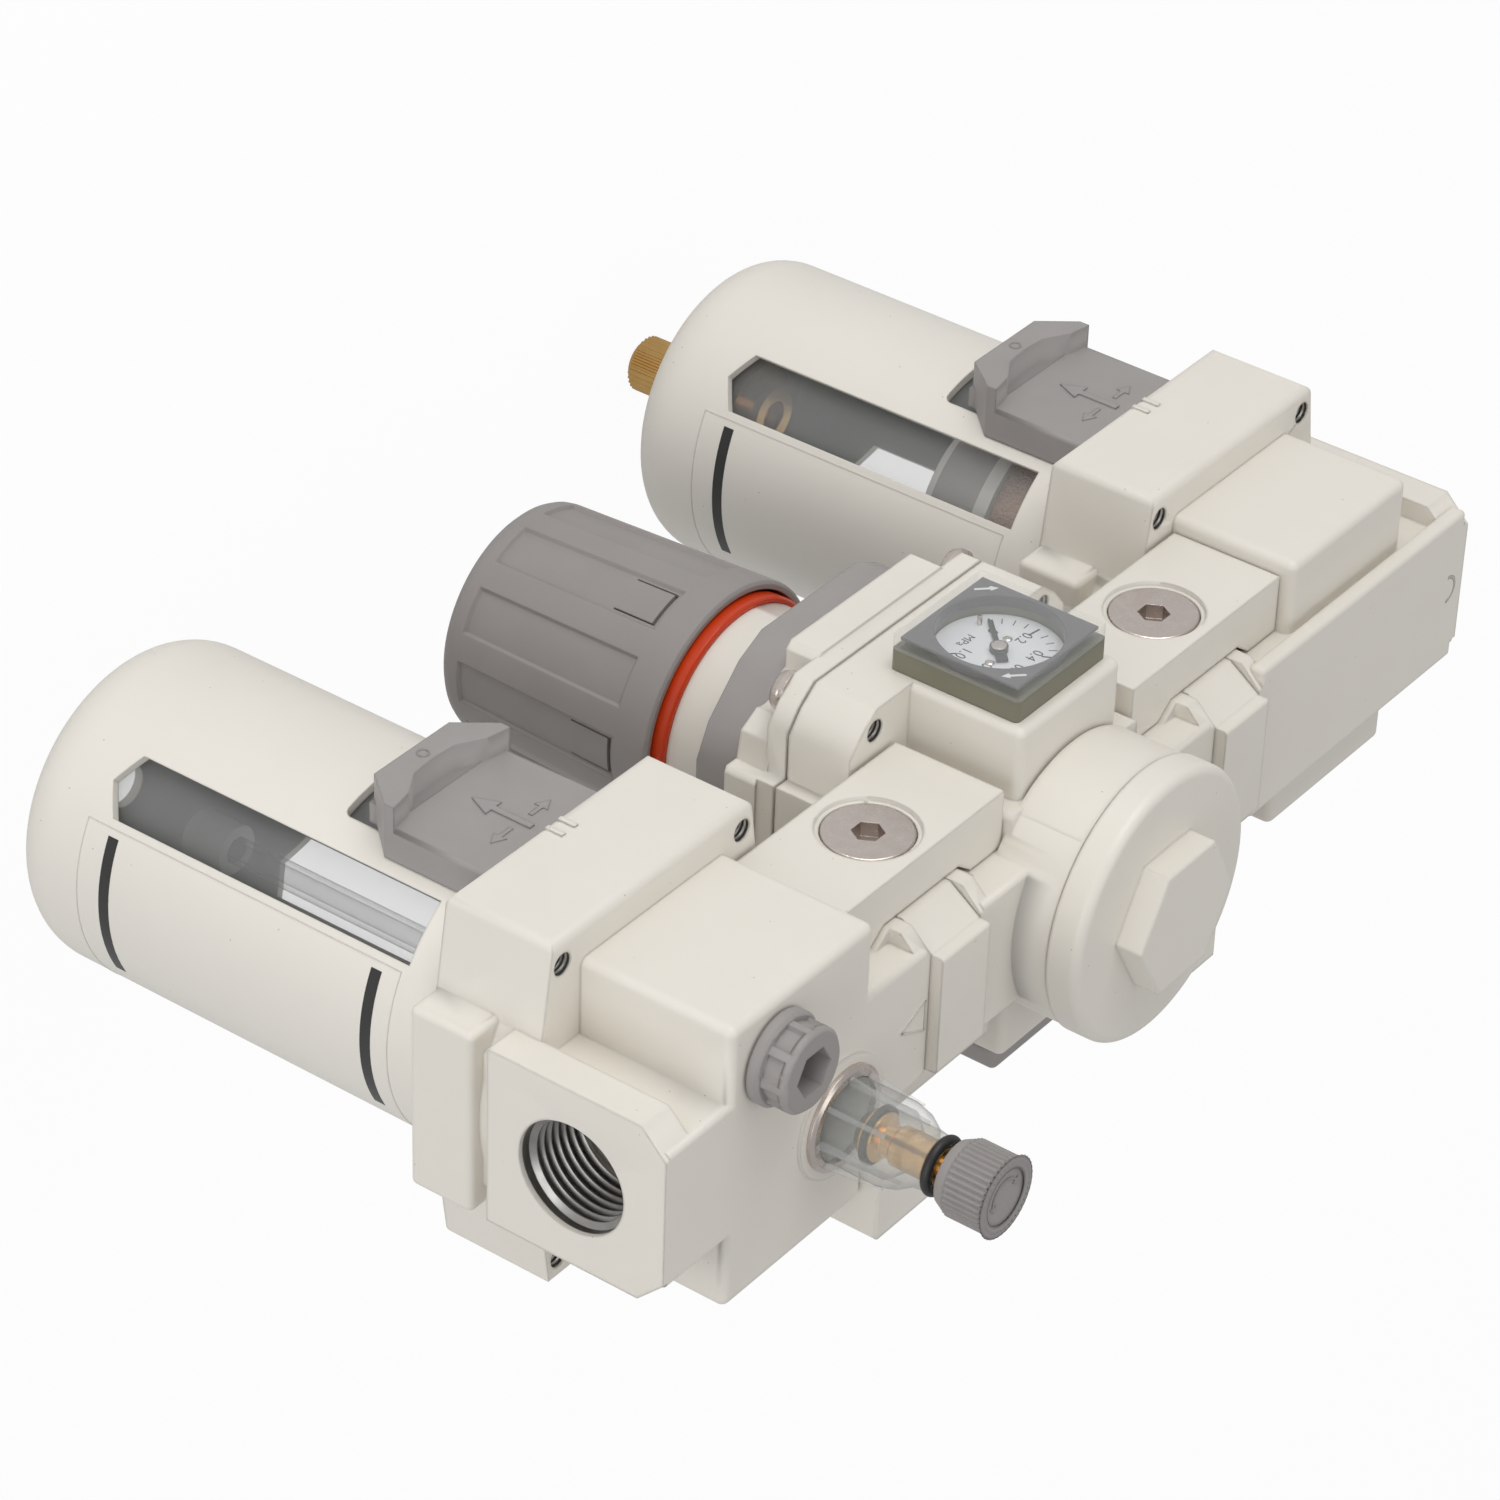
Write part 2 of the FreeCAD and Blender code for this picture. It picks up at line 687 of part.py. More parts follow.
def bowl(name, x, bottom_hole):
    """A clear bowl with a flange that rests on the guard's upper edge."""
    inner = d.bowl_radius - d.bowl_wall
    floor = d.bowl_bottom + d.bowl_wall + 1.2
    top = d.guard_top + 0.2 + d.bowl_flange_thickness
    flange = d.guard_radius - 0.1
    return put(turned(name, [
        (bottom_hole, d.bowl_bottom), (d.bowl_radius - 9, d.bowl_bottom),
        (d.bowl_radius - 2.4, d.bowl_bottom + 4), (d.bowl_radius, d.bowl_bottom + 11),
        (d.bowl_radius, d.guard_top + 0.2), (flange, d.guard_top + 0.2), (flange, top), (inner, top),
        (inner, floor + 8), (inner - 6, floor), (bottom_hole, floor)]), x)


def lock_button(name, x):
    """The grey slide that locks a bowl, saddled over the guard, with its thumb step."""
    top = d.body_bottom - d.face_gap
    step = top - d.button_length
    low = step - d.thumb_length
    plate = block(name + "_plate", both(d.button_half_width), span(-d.button_front, -17.0),
                  span(step - 1.0, top), 0.8, "z")
    side = [(d.thumb_half_width, low), (d.button_half_width, step - 1.6), (d.button_half_width, step + 0.4),
            (d.button_half_width - 4.6, step - 0.4), (d.button_half_width - 9.6, step + 0.4 - d.thumb_arch),
            (0, step - d.thumb_arch)]
    outline = side + [(-Size.of(a), b) for a, b in reversed(side[:-1])]
    thumb = pressed(name + "_thumb", outline, d.thumb_front - 24.0, "XZ_Plane")
    put(thumb, 0, -24.0)
    saddle = rod(name + "_saddle", d.guard_radius + d.face_gap, 60.0, 0, 0, top - 45)
    flaps = block(name + "_flaps", both(30.0), span(-20.0, 0), span(top - 45, top + MARGIN))
    shell = carve(name + "_shell", join(name + "_step", plate, thumb), saddle, flaps)
    tongue_low = top - d.button_length - d.thumb_length
    tongue = block(name + "_tongue", both(d.slot_half_width - 0.6),
                   span(-d.guard_radius - 2.0, -d.guard_radius + d.guard_wall + 0.1),
                   span(tongue_low, tongue_low + 9.0))
    whole = join(name + "_whole", shell, tongue)
    hollow = rod(name + "_hollow", d.bowl_radius + 0.5, 60.0, 0, 0, top - 45)
    return put(carve(name, whole, hollow), x)


def lock_spring(name, x):
    """The small return spring below the lock button's tongue."""
    low = d.slot_bottom + d.lock_wire_radius + 0.05
    high = (d.body_bottom - d.face_gap - d.button_length - d.thumb_length
            - d.lock_wire_radius - 0.05)
    return coil(name, d.lock_coil_radius, d.lock_wire_radius, high - low, 4, x,
                -d.guard_radius + d.guard_wall / 2 - 0.3, low)


seal_z = d.guard_top + 0.2 + d.bowl_flange_thickness + d.bowl_seal_section
for unit, x, guard_hole, bowl_hole in (("filter", filter_x, 9.0, d.drain_bore),
                                       ("lubricator", lubricator_x, 4.0, 0)):
    label_node(bowl_guard(unit + "_guard", x, guard_hole), unit + "_bowl_guard")
    label_node(bowl(unit + "_clear_bowl", x, bowl_hole), unit + "_bowl")
    label_node(ring(unit + "_o_ring", d.bowl_radius - d.bowl_seal_section, d.bowl_seal_section, x, 0,
                    seal_z + 0.02), unit + "_bowl_seal")
    label_node(lock_button(unit + "_button", x), unit + "_lock_button")
    label_node(lock_spring(unit + "_return", x), unit + "_lock_spring")

# ------------------------------------------------------------ filter insides

tie_top = d.hood_top + 5.0
tie_bottom = d.baffle_bottom - 3.0
label_node(put(turned("tie_bolt", [
    (0, tie_bottom), (5.0, tie_bottom), (5.0, d.baffle_bottom - 0.05),
    (d.tie_radius, d.baffle_bottom - 0.05), (d.tie_radius, tie_top), (0, tie_top)]), filter_x),
    "filter_tie_bolt")
label_node(put(turned("element", [
    (d.element_inner, d.element_bottom), (d.element_outer, d.element_bottom),
    (d.element_outer, d.element_top), (d.element_inner, d.element_top)]), filter_x), "filter_element")
hub = d.tie_radius + d.fit_gap
label_node(put(turned("baffle", [
    (hub, d.baffle_bottom), (d.baffle_radius - 1.5, d.baffle_bottom),
    (d.baffle_radius, d.element_bottom - 3.0), (d.baffle_radius, d.element_bottom - 0.05),
    (hub, d.element_bottom - 0.05),
    (hub, d.element_bottom - 3.0), (d.baffle_radius - 2.0, d.element_bottom - 3.0),
    (d.baffle_radius - 3.4, d.baffle_bottom + 1.6), (hub, d.baffle_bottom + 1.6)]), filter_x),
    "filter_baffle")
vane_count = 12
deflector_top = d.hood_top - 2.4 - 0.1
deflector_low = d.element_top + 0.05
collar_inner = 13.4
disc = turned("deflector_disc", [
    (collar_inner, deflector_low), (21.6, deflector_low), (21.6, deflector_low + 1.6),
    (d.element_inner, deflector_low + 1.6), (d.element_inner, deflector_top),
    (collar_inner, deflector_top)])
put(disc, filter_x)
hub_tube = turned("deflector_hub", [
    (hub, deflector_low), (hub + 1.8, deflector_low), (hub + 1.8, deflector_top), (hub, deflector_top)])
put(hub_tube, filter_x)
vanes = [block(f"deflector_arm{k}", span(filter_x - a, filter_x + a), both(b),
               span(deflector_low, deflector_low + 1.6))
         for k, (a, b) in enumerate(((collar_inner + 0.4, 1.0), (1.0, collar_inner + 0.4)))]
for k in range(vane_count):
    vane = doc.addObject("Part::Box", f"vane{k}")
    vane.Length = 5.6
    vane.Width = 1.0
    vane.setExpression("Height", text(deflector_top - deflector_low - 1.4))
    angle = 360.0 * k / vane_count
    vane.Placement = FreeCAD.Placement(Vector(), FreeCAD.Rotation(Vector(0, 0, 1), angle + 35))
    put(vane, filter_x + 15.2 * math.cos(math.radians(angle)),
        15.2 * math.sin(math.radians(angle)), deflector_low + 1.4)
    vanes.append(vane)
arms = join("deflector_solid", disc, hub_tube, *vanes)
label_node(carve("deflector", arms, rod("deflector_bore", hub, 20.0, filter_x, 0, deflector_low - 5)),
           "filter_deflector")

# drain: a brass body through the bowl's floor, and a screw that opens downwards
floor_z = d.bowl_bottom + d.bowl_wall + 1.2
drain_neck = 3.2
label_node(put(turned("drain_fitting", [
    (drain_neck, d.bowl_bottom - 2.6), (8.4, d.bowl_bottom - 2.6), (8.4, d.bowl_bottom - 0.05),
    (d.drain_bore - d.fit_gap, d.bowl_bottom - 0.05), (d.drain_bore - d.fit_gap, floor_z + 0.9),
    (9.4, floor_z + 0.9), (9.4, floor_z + 3.4), (6.0, floor_z + 3.4), (6.0, floor_z + 7.0),
    (drain_neck, floor_z + 7.0)]), filter_x), "drain_fitting")
label_node(ring("drain_o_ring", 7.6, 0.42, filter_x, 0, floor_z + 0.44), "drain_seal")
knob_top = d.drain_knob_bottom + d.drain_knob_length
label_node(put(turned("drain_screw", [
    (1.6, d.drain_knob_bottom), (d.drain_knob_radius, d.drain_knob_bottom),
    (d.drain_knob_radius, knob_top), (drain_neck - d.fit_gap, knob_top),
    (drain_neck - d.fit_gap, floor_z + 4.0), (1.0, floor_z + 4.0), (1.0, d.drain_knob_bottom + 6.0),
    (1.6, d.drain_knob_bottom + 6.0)], [(d.drain_knob_radius, d.drain_knob_bottom, 0.8)]), filter_x),
    "drain_knob")

label_node(ring("drain_screw_o_ring", 3.75, 0.45, filter_x, 0, knob_top + 0.5), "drain_screw_ring")

# --------------------------------------------------- bonnet and its hardware

lower_corner = [
    (17.2, -d.crown_front), (18.5, -d.crown_front + 1.3), (18.5, -29.9), (d.bonnet_side - 0.6, -23.2),
    (d.bonnet_side + 0.4, -d.lug_half_depth), (half_unit - 0.6, -d.lug_half_depth),
    (half_unit - 0.1, -d.plate_half_depth + 0.4)]
seat_z = d.joint_plane - d.diaphragm_thickness
flange = put(pressed("bonnet_flange", regulator_outline(), seat_z - d.flange_step),
             regulator_x, 0, d.flange_step)
crown = put(pressed("bonnet_crown", mirrored_outline(lower_corner), d.flange_step - d.flange_bottom + 0.5),
            regulator_x, 0, d.flange_bottom)
tube = turned("bonnet_tube", [
    (0, d.bonnet_end), (d.sleeve_radius, d.bonnet_end), (d.sleeve_radius, d.neck_bottom),
    (d.neck_radius, d.neck_bottom), (d.neck_radius, d.flange_bottom + MARGIN),
    (0, d.flange_bottom + MARGIN)])
put(tube, regulator_x)
inside = turned("bonnet_inside", [
    (0, d.bonnet_end - MARGIN), (d.spindle_radius + 0.1, d.bonnet_end - MARGIN),
    (d.spindle_radius + 0.1, d.bonnet_floor), (d.spring_bore, d.bonnet_floor),
    (d.spring_bore, -32.0), (24.0, -29.0), (24.0, seat_z + MARGIN), (0, seat_z + MARGIN)])
put(inside, regulator_x)
holes = []
heads = []
for sx in (-1, 1):
    for sy in (-1, 1):
        tag = f"{sx + 1}{sy + 1}"
        hole_x = regulator_x + sx * d.screw_x
        holes.append(rod("flange_hole" + tag, d.screw_radius + 0.15, 8.0, hole_x, sy * d.screw_y,
                         d.flange_step - 2))
        holes.append(rod("head_room" + tag, 4.6, d.flange_step - d.flange_bottom + MARGIN, hole_x,
                         sy * d.screw_y, d.flange_bottom - MARGIN))
        screw = turned("bonnet_screw" + tag, [
            (0, d.flange_step - 3.0), (2.2, d.flange_step - 3.0), (3.4, d.flange_step - 2.4),
            (3.9, d.flange_step - 1.2), (3.9, d.flange_step - 0.03), (d.screw_radius, d.flange_step - 0.03),
            (d.screw_radius, d.hood_top - 4.0), (0, d.hood_top - 4.0)])
        put(screw, hole_x, sy * d.screw_y)
        cross = [block(f"cross{tag}{k}", span(hole_x - a, hole_x + a),
                       span(sy * d.screw_y - b, sy * d.screw_y + b),
                       span(d.flange_step - 3.2, d.flange_step - 1.6))
                 for k, (a, b) in enumerate(((1.7, 0.35), (0.35, 1.7)))]
        heads.append(carve("cross_head" + tag, screw, *cross))
label_node(carve("bonnet_casting", join("bonnet_solid", flange, crown, tube), inside, *holes), "bonnet")
label_node(group("bonnet_screw_set", *heads), "bonnet_screws")

ring_top = d.flange_bottom - 0.2
cut_x = d.panel_ring_half - 3.1
octagon = mirrored_outline([
    (d.panel_ring_corner, -d.panel_ring_half), (d.panel_ring_corner + 6.3, -cut_x),
    (cut_x, -(d.panel_ring_corner + 6.3)), (d.panel_ring_half, -d.panel_ring_corner)])
plate = put(pressed("panel_nut_plate", octagon, d.panel_ring_height), regulator_x, 0,
            ring_top - d.panel_ring_height)
label_node(carve("panel_nut", plate, rod("panel_nut_hole", d.neck_radius + d.fit_gap, 20.0, regulator_x, 0,
                                         ring_top - 15)), "panel_ring")
label_node(put(turned("warning_ring_body", [
    (d.neck_radius + 0.04, d.warning_ring_top - d.warning_ring_height),
    (d.warning_ring_radius, d.warning_ring_top - d.warning_ring_height),
    (d.warning_ring_radius, d.warning_ring_top - 0.4), (d.warning_ring_radius - 0.4, d.warning_ring_top),
    (d.neck_radius + 0.04, d.warning_ring_top)]), regulator_x), "orange_ring")

# knob: pulled out, so that it turns; pushed up it locks
hub_top = d.bonnet_end - d.knob_travel - 1.0
hub_bore = d.spindle_radius + d.fit_gap
end_inner = d.knob_end_radius - d.knob_wall
label_node(put(turned("knob_shell", [
    (0, d.knob_end), (d.knob_end_radius, d.knob_end), (d.knob_rim_radius, d.knob_rim),
    (d.knob_rim_radius - d.knob_wall, d.knob_rim), (end_inner, d.knob_end + 2.8),
    (8.2, d.knob_end + 2.8), (8.2, hub_top), (hub_bore, hub_top), (hub_bore, d.knob_end + 6.4),
    (0, d.knob_end + 6.4)], [(d.knob_end_radius, d.knob_end, 3.6), (d.knob_rim_radius, d.knob_rim, 0.8)]),
    regulator_x), "regulator_knob")
screw_end = d.knob_end + 6.4 + d.knob_travel + 0.6
label_node(put(turned("setting_screw", [
    (0, screw_end), (d.spindle_radius, screw_end), (d.spindle_radius, d.bonnet_floor + 0.06),
    (7.0, d.bonnet_floor + 0.06), (7.0, d.bonnet_floor + 2.6),
    (d.setting_thread_radius, d.bonnet_floor + 2.6), (d.setting_thread_radius, -52.0), (0, -52.0)]),
    regulator_x), "adjusting_screw")
nut_low = d.nut_top - d.nut_height
label_node(put(turned("range_nut", [
    (d.setting_thread_radius + d.fit_gap, nut_low), (d.spring_bore - 0.4, nut_low),
    (d.spring_bore - 0.4, d.nut_top), (9.0, d.nut_top), (9.0, d.nut_top + 2.4),
    (d.setting_thread_radius + d.fit_gap, d.nut_top + 2.4)]), regulator_x), "spring_nut")
plate_low = seat_z - 2.4
spring_low = d.nut_top + d.range_wire_radius + 0.05
spring_high = plate_low - d.range_wire_radius - 0.05
label_node(coil("range_spring", d.range_coil_radius, d.range_wire_radius, spring_high - spring_low, 5,
                regulator_x, 0, spring_low), "regulating_spring")

# diaphragm, its plates, the valve, its spring and the cap
hub_radius = 4.0
label_node(put(turned("membrane", [
    (hub_radius + 0.05, seat_z), (d.diaphragm_radius, seat_z), (d.diaphragm_radius, d.joint_plane),
    (hub_radius + 0.05, d.joint_plane)]), regulator_x), "diaphragm")
stem_end = d.joint_plane + 1.9
label_node(put(turned("diaphragm_piston", [
    (0, plate_low), (d.plate_radius, plate_low), (d.plate_radius, seat_z - 0.3),
    (hub_radius, seat_z - 0.3), (hub_radius, d.joint_plane + 0.3), (10.0, d.joint_plane + 0.3),
    (10.0, d.joint_plane + 1.3), (hub_radius, d.joint_plane + 1.3), (hub_radius, stem_end - 0.1),
    (0, stem_end - 0.1)]), regulator_x), "diaphragm_plate")
valve_low = d.valve_seat_top + 0.05
valve_high = valve_low + 3.6
guide_radius = 4.4
label_node(put(turned("valve", [
    (0, stem_end), (d.valve_stem_radius, stem_end), (d.valve_stem_radius, valve_low), (11.0, valve_low),
    (11.0, valve_high), (guide_radius, valve_high), (guide_radius, 18.0), (0, 18.0)]), regulator_x),
    "main_valve")
cap_floor = 14.4
label_node(coil("valve_return", d.valve_coil_radius, d.valve_wire_radius,
                cap_floor - valve_high - 2 * d.valve_wire_radius - 0.15, 3.5, regulator_x, 0,
                valve_high + d.valve_wire_radius + 0.05), "valve_spring")
cap_low = d.barrel_top + d.face_gap
plug = turned("cap_plug", [
    (0, cap_floor), (21.2, cap_floor), (21.2, cap_low), (d.cap_radius, cap_low),
    (d.cap_radius, d.cap_face), (0, d.cap_face)], [(d.cap_radius, d.cap_face, 1.8)])
put(plug, regulator_x)
hexagon = doc.addObject("Part::Prism", "cap_hexagon")
hexagon.Polygon = 6
hexagon.setExpression("Circumradius", text(d.cap_hex / math.sqrt(3)))
hexagon.setExpression("Height", text(d.cap_hex_top - d.cap_face + MARGIN))
put(hexagon, regulator_x, 0, d.cap_face - MARGIN)
hexagon_soft = round_edges(hexagon, 0.5, lambda edge: not runs_along("z")(edge))
bore = rod("cap_guide", guide_radius + d.fit_gap + 0.03, 7.2, regulator_x, 0, cap_floor - MARGIN)
label_node(carve("cap", join("cap_solid", plug, hexagon_soft), bore), "valve_cap")
label_node(ring("cap_o_ring", 23.2, 0.13, regulator_x, 0, d.barrel_top + d.face_gap / 2), "valve_cap_seal")

# -------------------------------------------------------------- gauge

half_gauge = d.gauge_size / 2
gauge_z = span(d.gauge_centre_z - half_gauge, d.gauge_centre_z + half_gauge)
gauge_xs = span(regulator_x - half_gauge, regulator_x + half_gauge)
case_front = d.gauge_seat + 0.05 + d.gauge_case_depth
case = block("gauge_shell", gauge_xs, span(-case_front, -d.gauge_seat - 0.05), gauge_z, 1.0, "y")
stem = rod("gauge_stem", gauge_socket_radius, 5.0, regulator_x, -d.gauge_seat - MARGIN, d.gauge_centre_z,
           (0, 1, 0))
cup = rod("gauge_cup", d.dial_radius + 0.5, 2.2 + MARGIN, regulator_x, -case_front - MARGIN,
          d.gauge_centre_z, (0, 1, 0))
pit = rod("gauge_pit", 0.6, 5.0, regulator_x, -case_front, d.gauge_centre_z, (0, 1, 0))
label_node(carve("gauge_box", join("gauge_base", case, stem), cup, pit), "gauge_case")
cover_wall = 1.1
cover_back = case_front + 0.05
cover = block("gauge_cover_shell", gauge_xs, span(-d.gauge_front, -cover_back), gauge_z, 1.0, "y")
room = block("gauge_cover_room",
             span(gauge_xs[0] + cover_wall, gauge_xs[1] - cover_wall),
             span(-d.gauge_front + 0.5, -cover_back + MARGIN),
             span(gauge_z[0] + cover_wall, gauge_z[1] - cover_wall))
label_node(carve("gauge_lens", cover, room), "gauge_cover")
mask_front = d.gauge_front - 0.55
mask_plate = block("gauge_mask_plate",
                   span(gauge_xs[0] + cover_wall + 0.05, gauge_xs[1] - cover_wall - 0.05),
                   span(-mask_front, -mask_front + 0.5),
                   span(gauge_z[0] + cover_wall + 0.05, gauge_z[1] - cover_wall - 0.05))
mask_tube = rod("gauge_mask_tube", d.dial_radius + 0.7, mask_front - cover_back, regulator_x, -mask_front,
                d.gauge_centre_z, (0, 1, 0))
mask_hole = rod("gauge_mask_hole", d.dial_radius, 20.0, regulator_x, -mask_front - 5, d.gauge_centre_z,
                (0, 1, 0))
mask_solid = join("gauge_mask_solid", mask_plate, mask_tube)
label_node(carve("gauge_face_mask", mask_solid, mask_hole), "gauge_mask")
dial_back = case_front - 2.15
dial = rod("dial_plate", d.dial_radius + 0.3, 0.4, regulator_x, -dial_back, d.gauge_centre_z, (0, -1, 0))
label_node(carve("dial_face", dial, rod("dial_hole", 0.6, 4.0, regulator_x, -dial_back + 1,
                                        d.gauge_centre_z, (0, -1, 0))), "gauge_dial")
needle_back = dial_back + 0.7
blade = block("pointer_blade", span(regulator_x - 0.45, regulator_x + 0.45),
              span(-needle_back - 0.35, -needle_back),
              span(d.gauge_centre_z - 8.6, d.gauge_centre_z))
tail = block("pointer_tail", span(regulator_x - 1.0, regulator_x + 1.0),
             span(-needle_back - 0.35, -needle_back), span(d.gauge_centre_z, d.gauge_centre_z + 3.6))
boss = rod("pointer_boss", 1.6, 1.0, regulator_x, -needle_back + 0.1, d.gauge_centre_z, (0, -1, 0))
shaft = rod("pointer_shaft", 0.52, 2.0, regulator_x, -needle_back + 1.6, d.gauge_centre_z, (0, -1, 0))
pointer = join("pointer", blade, tail, boss, shaft)
rest = FreeCAD.Rotation(Vector(0, -1, 0), -number(d.pointer_rest))
centre = Vector(number(regulator_x), 0, number(d.gauge_centre_z))
pointer.Placement = FreeCAD.Placement(Vector(), rest, centre)
label_node(pointer, "gauge_pointer")
blank = block("blank_plate", gauge_xs, span(d.gauge_seat + 0.05, d.gauge_seat + d.blank_depth),
              gauge_z, 1.4)
spigot = rod("blank_spigot", blank_socket_radius, 5.0, regulator_x, d.gauge_seat + 1.5, d.gauge_centre_z,
             (0, -1, 0))
label_node(join("blank_cover", blank, spigot), "blanking_cover")

# ----------------------------------------------------- spacers and clamps

spacer_half = joint_gap / 2 - d.face_gap
spacer_top = d.body_top
seals = []
for unit, x in zip(("filter", "lubricator"), spacer_x):
    outline = [(-d.spacer_half_depth, d.spacer_bottom), (d.spacer_half_depth, d.spacer_bottom),
               (d.spacer_half_depth, d.spacer_shoulder), (d.spacer_flat, spacer_top),
               (-d.spacer_flat, spacer_top), (-d.spacer_half_depth, d.spacer_shoulder)]
    slab = put(pressed(unit + "_slab", outline, 2 * spacer_half, "YZ_Plane"), x - spacer_half)
    pad = block(unit + "_pad", span(x - spacer_half, x + spacer_half), both(d.spacer_pad_half_depth),
                span(spacer_top - MARGIN, d.spacer_pad_top), 0.6, "x")
    tools = [rod(unit + "_spacer_way", d.way_radius, 30.0, x - 15, 0, 0, (1, 0, 0))]
    for sy in (-1, 1):
        tools.append(rod(f"{unit}_stud_hole{sy + 1}", d.clamp_shank_radius + d.fit_gap,
                         6.0 + MARGIN, x, sy * (d.spacer_half_depth + MARGIN), 0.3, (0, -sy, 0)))
    for sx in (-1, 1):
        groove = rod(f"{unit}_groove{sx + 1}", 13.0, 1.6, x + sx * (spacer_half - 1.6), 0, 0, (sx, 0, 0))
        tools.append(groove)
        seals.append(ring(f"{unit}_face_seal{sx + 1}", 11.6, 0.85, x + sx * (spacer_half - 0.72), 0, 0,
                          (1, 0, 0)))
    label_node(carve(unit + "_link", join(unit + "_link_solid", slab, pad), *tools), unit + "_spacer")
label_node(group("face_seal_set", *seals), "spacer_seals")


def clamp(name, x, side, with_tab):
    """One half of a clamp: a bridge with a hooked leg behind each body's rim."""
    near, far = d.clamp_hook, d.clamp_front
    points = [(-d.clamp_half_width, far), (d.clamp_half_width, far), (d.clamp_half_width, near),
              (d.clamp_hook_start, near), (d.clamp_flat_half, d.clamp_inner),
              (-d.clamp_flat_half, d.clamp_inner), (-d.clamp_hook_start, near),
              (-d.clamp_half_width, near)]
    outline = [(px, side * Size.of(py)) for px, py in points]
    bridge = put(pressed(name + "_bridge", outline, d.clamp_top - d.clamp_bottom), x, 0, d.clamp_bottom)
    parts = [bridge]
    if with_tab:
        parts.append(block(name + "_tab", span(x + d.clamp_tab_start, x + d.clamp_half_width),
                           span(d.clamp_front - MARGIN, d.clamp_tab_rear),
                           span(d.clamp_bottom, d.clamp_tab_top), 0.8, "yz"))
    middle = 0.3
    out = (0, -side, 0)
    shank = rod(name + "_shank_hole", d.clamp_shank_radius + 0.2, 40.0, x, side * 40.0, middle, out)
    recess_floor = d.clamp_front - 0.8
    recess = rod(name + "_recess", d.clamp_recess_radius, 1.8, x, side * (d.clamp_front + MARGIN),
                 middle, out)
    sink = rod(name + "_sink", d.clamp_head_radius + 0.15, 20.0, x, side * (recess_floor - 3.6), middle,
               (0, side, 0))
    return carve(name, join(name + "_solid", *parts), shank, recess, sink)


screws = []
for unit, x in zip(("filter", "lubricator"), spacer_x):
    for side, place in ((-1, "front"), (1, "rear")):
        label_node(clamp(f"{unit}_{place}_half", x, side, side > 0), f"{unit}_clamp_{place}")
        head_floor = d.clamp_front - 4.35
        bolt = turned(f"{unit}_{place}_bolt", [
            (0, d.spacer_half_depth - 4.6), (d.clamp_shank_radius, d.spacer_half_depth - 4.6),
            (d.clamp_shank_radius, head_floor), (d.clamp_head_radius, head_floor),
            (d.clamp_head_radius, d.clamp_front - 0.6), (0, d.clamp_front - 0.6)],
            [(d.clamp_head_radius, d.clamp_front - 0.6, 0.4)])
        socket = doc.addObject("Part::Prism", f"{unit}_{place}_key")
        socket.Polygon = 6
        socket.Circumradius = 2.9
        socket.Height = 4.0
        put(socket, 0, 0, d.clamp_front - 3.4)
        keyed = carve(f"{unit}_{place}_keyed", bolt, socket)
        aim(keyed, (0, side, 0))
        screws.append(put(keyed, x, 0, 0.3))
label_node(group("clamp_screw_set", *screws), "clamp_screws")

# ---------------------------------------------------- lubricator fittings

tube_low = d.bowl_bottom + d.bowl_wall + 1.2 + 5.0
label_node(put(turned("pickup_tube", [
    (1.5, tube_low), (d.tube_radius, tube_low), (d.tube_radius, d.hood_top + 1.6),
    (1.5, d.hood_top + 1.6)]), tube_x, 10.0), "oil_tube")
label_node(put(turned("strainer", [
    (d.tube_radius + d.fit_gap, tube_low - 1.5), (4.6, tube_low - 1.5), (4.6, tube_low + 7.0),
    (d.tube_radius + d.fit_gap, tube_low + 7.0)]), tube_x, 10.0), "oil_strainer")
damper_radius = d.way_radius - d.fit_gap
flap = turned("damper_disc", [
    (4.4, 0), (damper_radius, 0), (damper_radius, 1.6), (damper_radius - 1.6, 1.6),
    (damper_radius - 1.6, 0.8), (4.4, 0.8)])
aim(flap, (1, 0, 0))
label_node(put(flap, lubricator_x + 3.0), "flow_damper")

plug_low = d.body_top + 0.5
flange_high = plug_low + 2.2
head_high = d.body_top + d.plug_height
head = put(turned("plug_head", [
    (0, d.body_top - 8.0), (d.plug_thread_radius, d.body_top - 8.0), (d.plug_thread_radius, plug_low),
    (d.plug_flange_radius, plug_low), (d.plug_flange_radius, flange_high - 0.6),
    (d.plug_flange_radius - 0.6, flange_high), (d.plug_head_radius - 0.7, flange_high),
    (d.plug_head_radius - 0.7, head_high - 1.6), (d.plug_head_radius, head_high - 1.6),
    (d.plug_head_radius, head_high - 0.8), (d.plug_head_radius - 0.8, head_high), (0, head_high)]),
    plug_x, d.plug_y)
ribs = []
rib_count = 8
for k in range(rib_count):
    rib = doc.addObject("Part::Box", f"plug_rib{k}")
    rib.Length = 1.6
    rib.Width = 1.5
    rib.setExpression("Height", text(head_high - flange_high - 0.9))
    angle = 2 * math.pi * k / rib_count
    rib.Placement = FreeCAD.Placement(Vector(), FreeCAD.Rotation(Vector(0, 0, 1), math.degrees(angle)))
    reach = number(d.plug_head_radius) - 1.6
    put(rib, plug_x + reach * math.cos(angle) + 0.75 * math.sin(angle),
        d.plug_y + reach * math.sin(angle) - 0.75 * math.cos(angle), flange_high - 0.1)
    ribs.append(rib)
key = doc.addObject("Part::Prism", "plug_key")
key.Polygon = 6
key.Circumradius = 4.4
key.Height = 6.0
put(key, plug_x, d.plug_y, head_high - 5.0)
label_node(carve("plug", join("plug_solid", head, *ribs), key), "fill_plug")
label_node(ring("plug_o_ring", d.plug_thread_radius + 0.45, 0.22, plug_x, d.plug_y, d.body_top + 0.25),
           "fill_plug_seal")

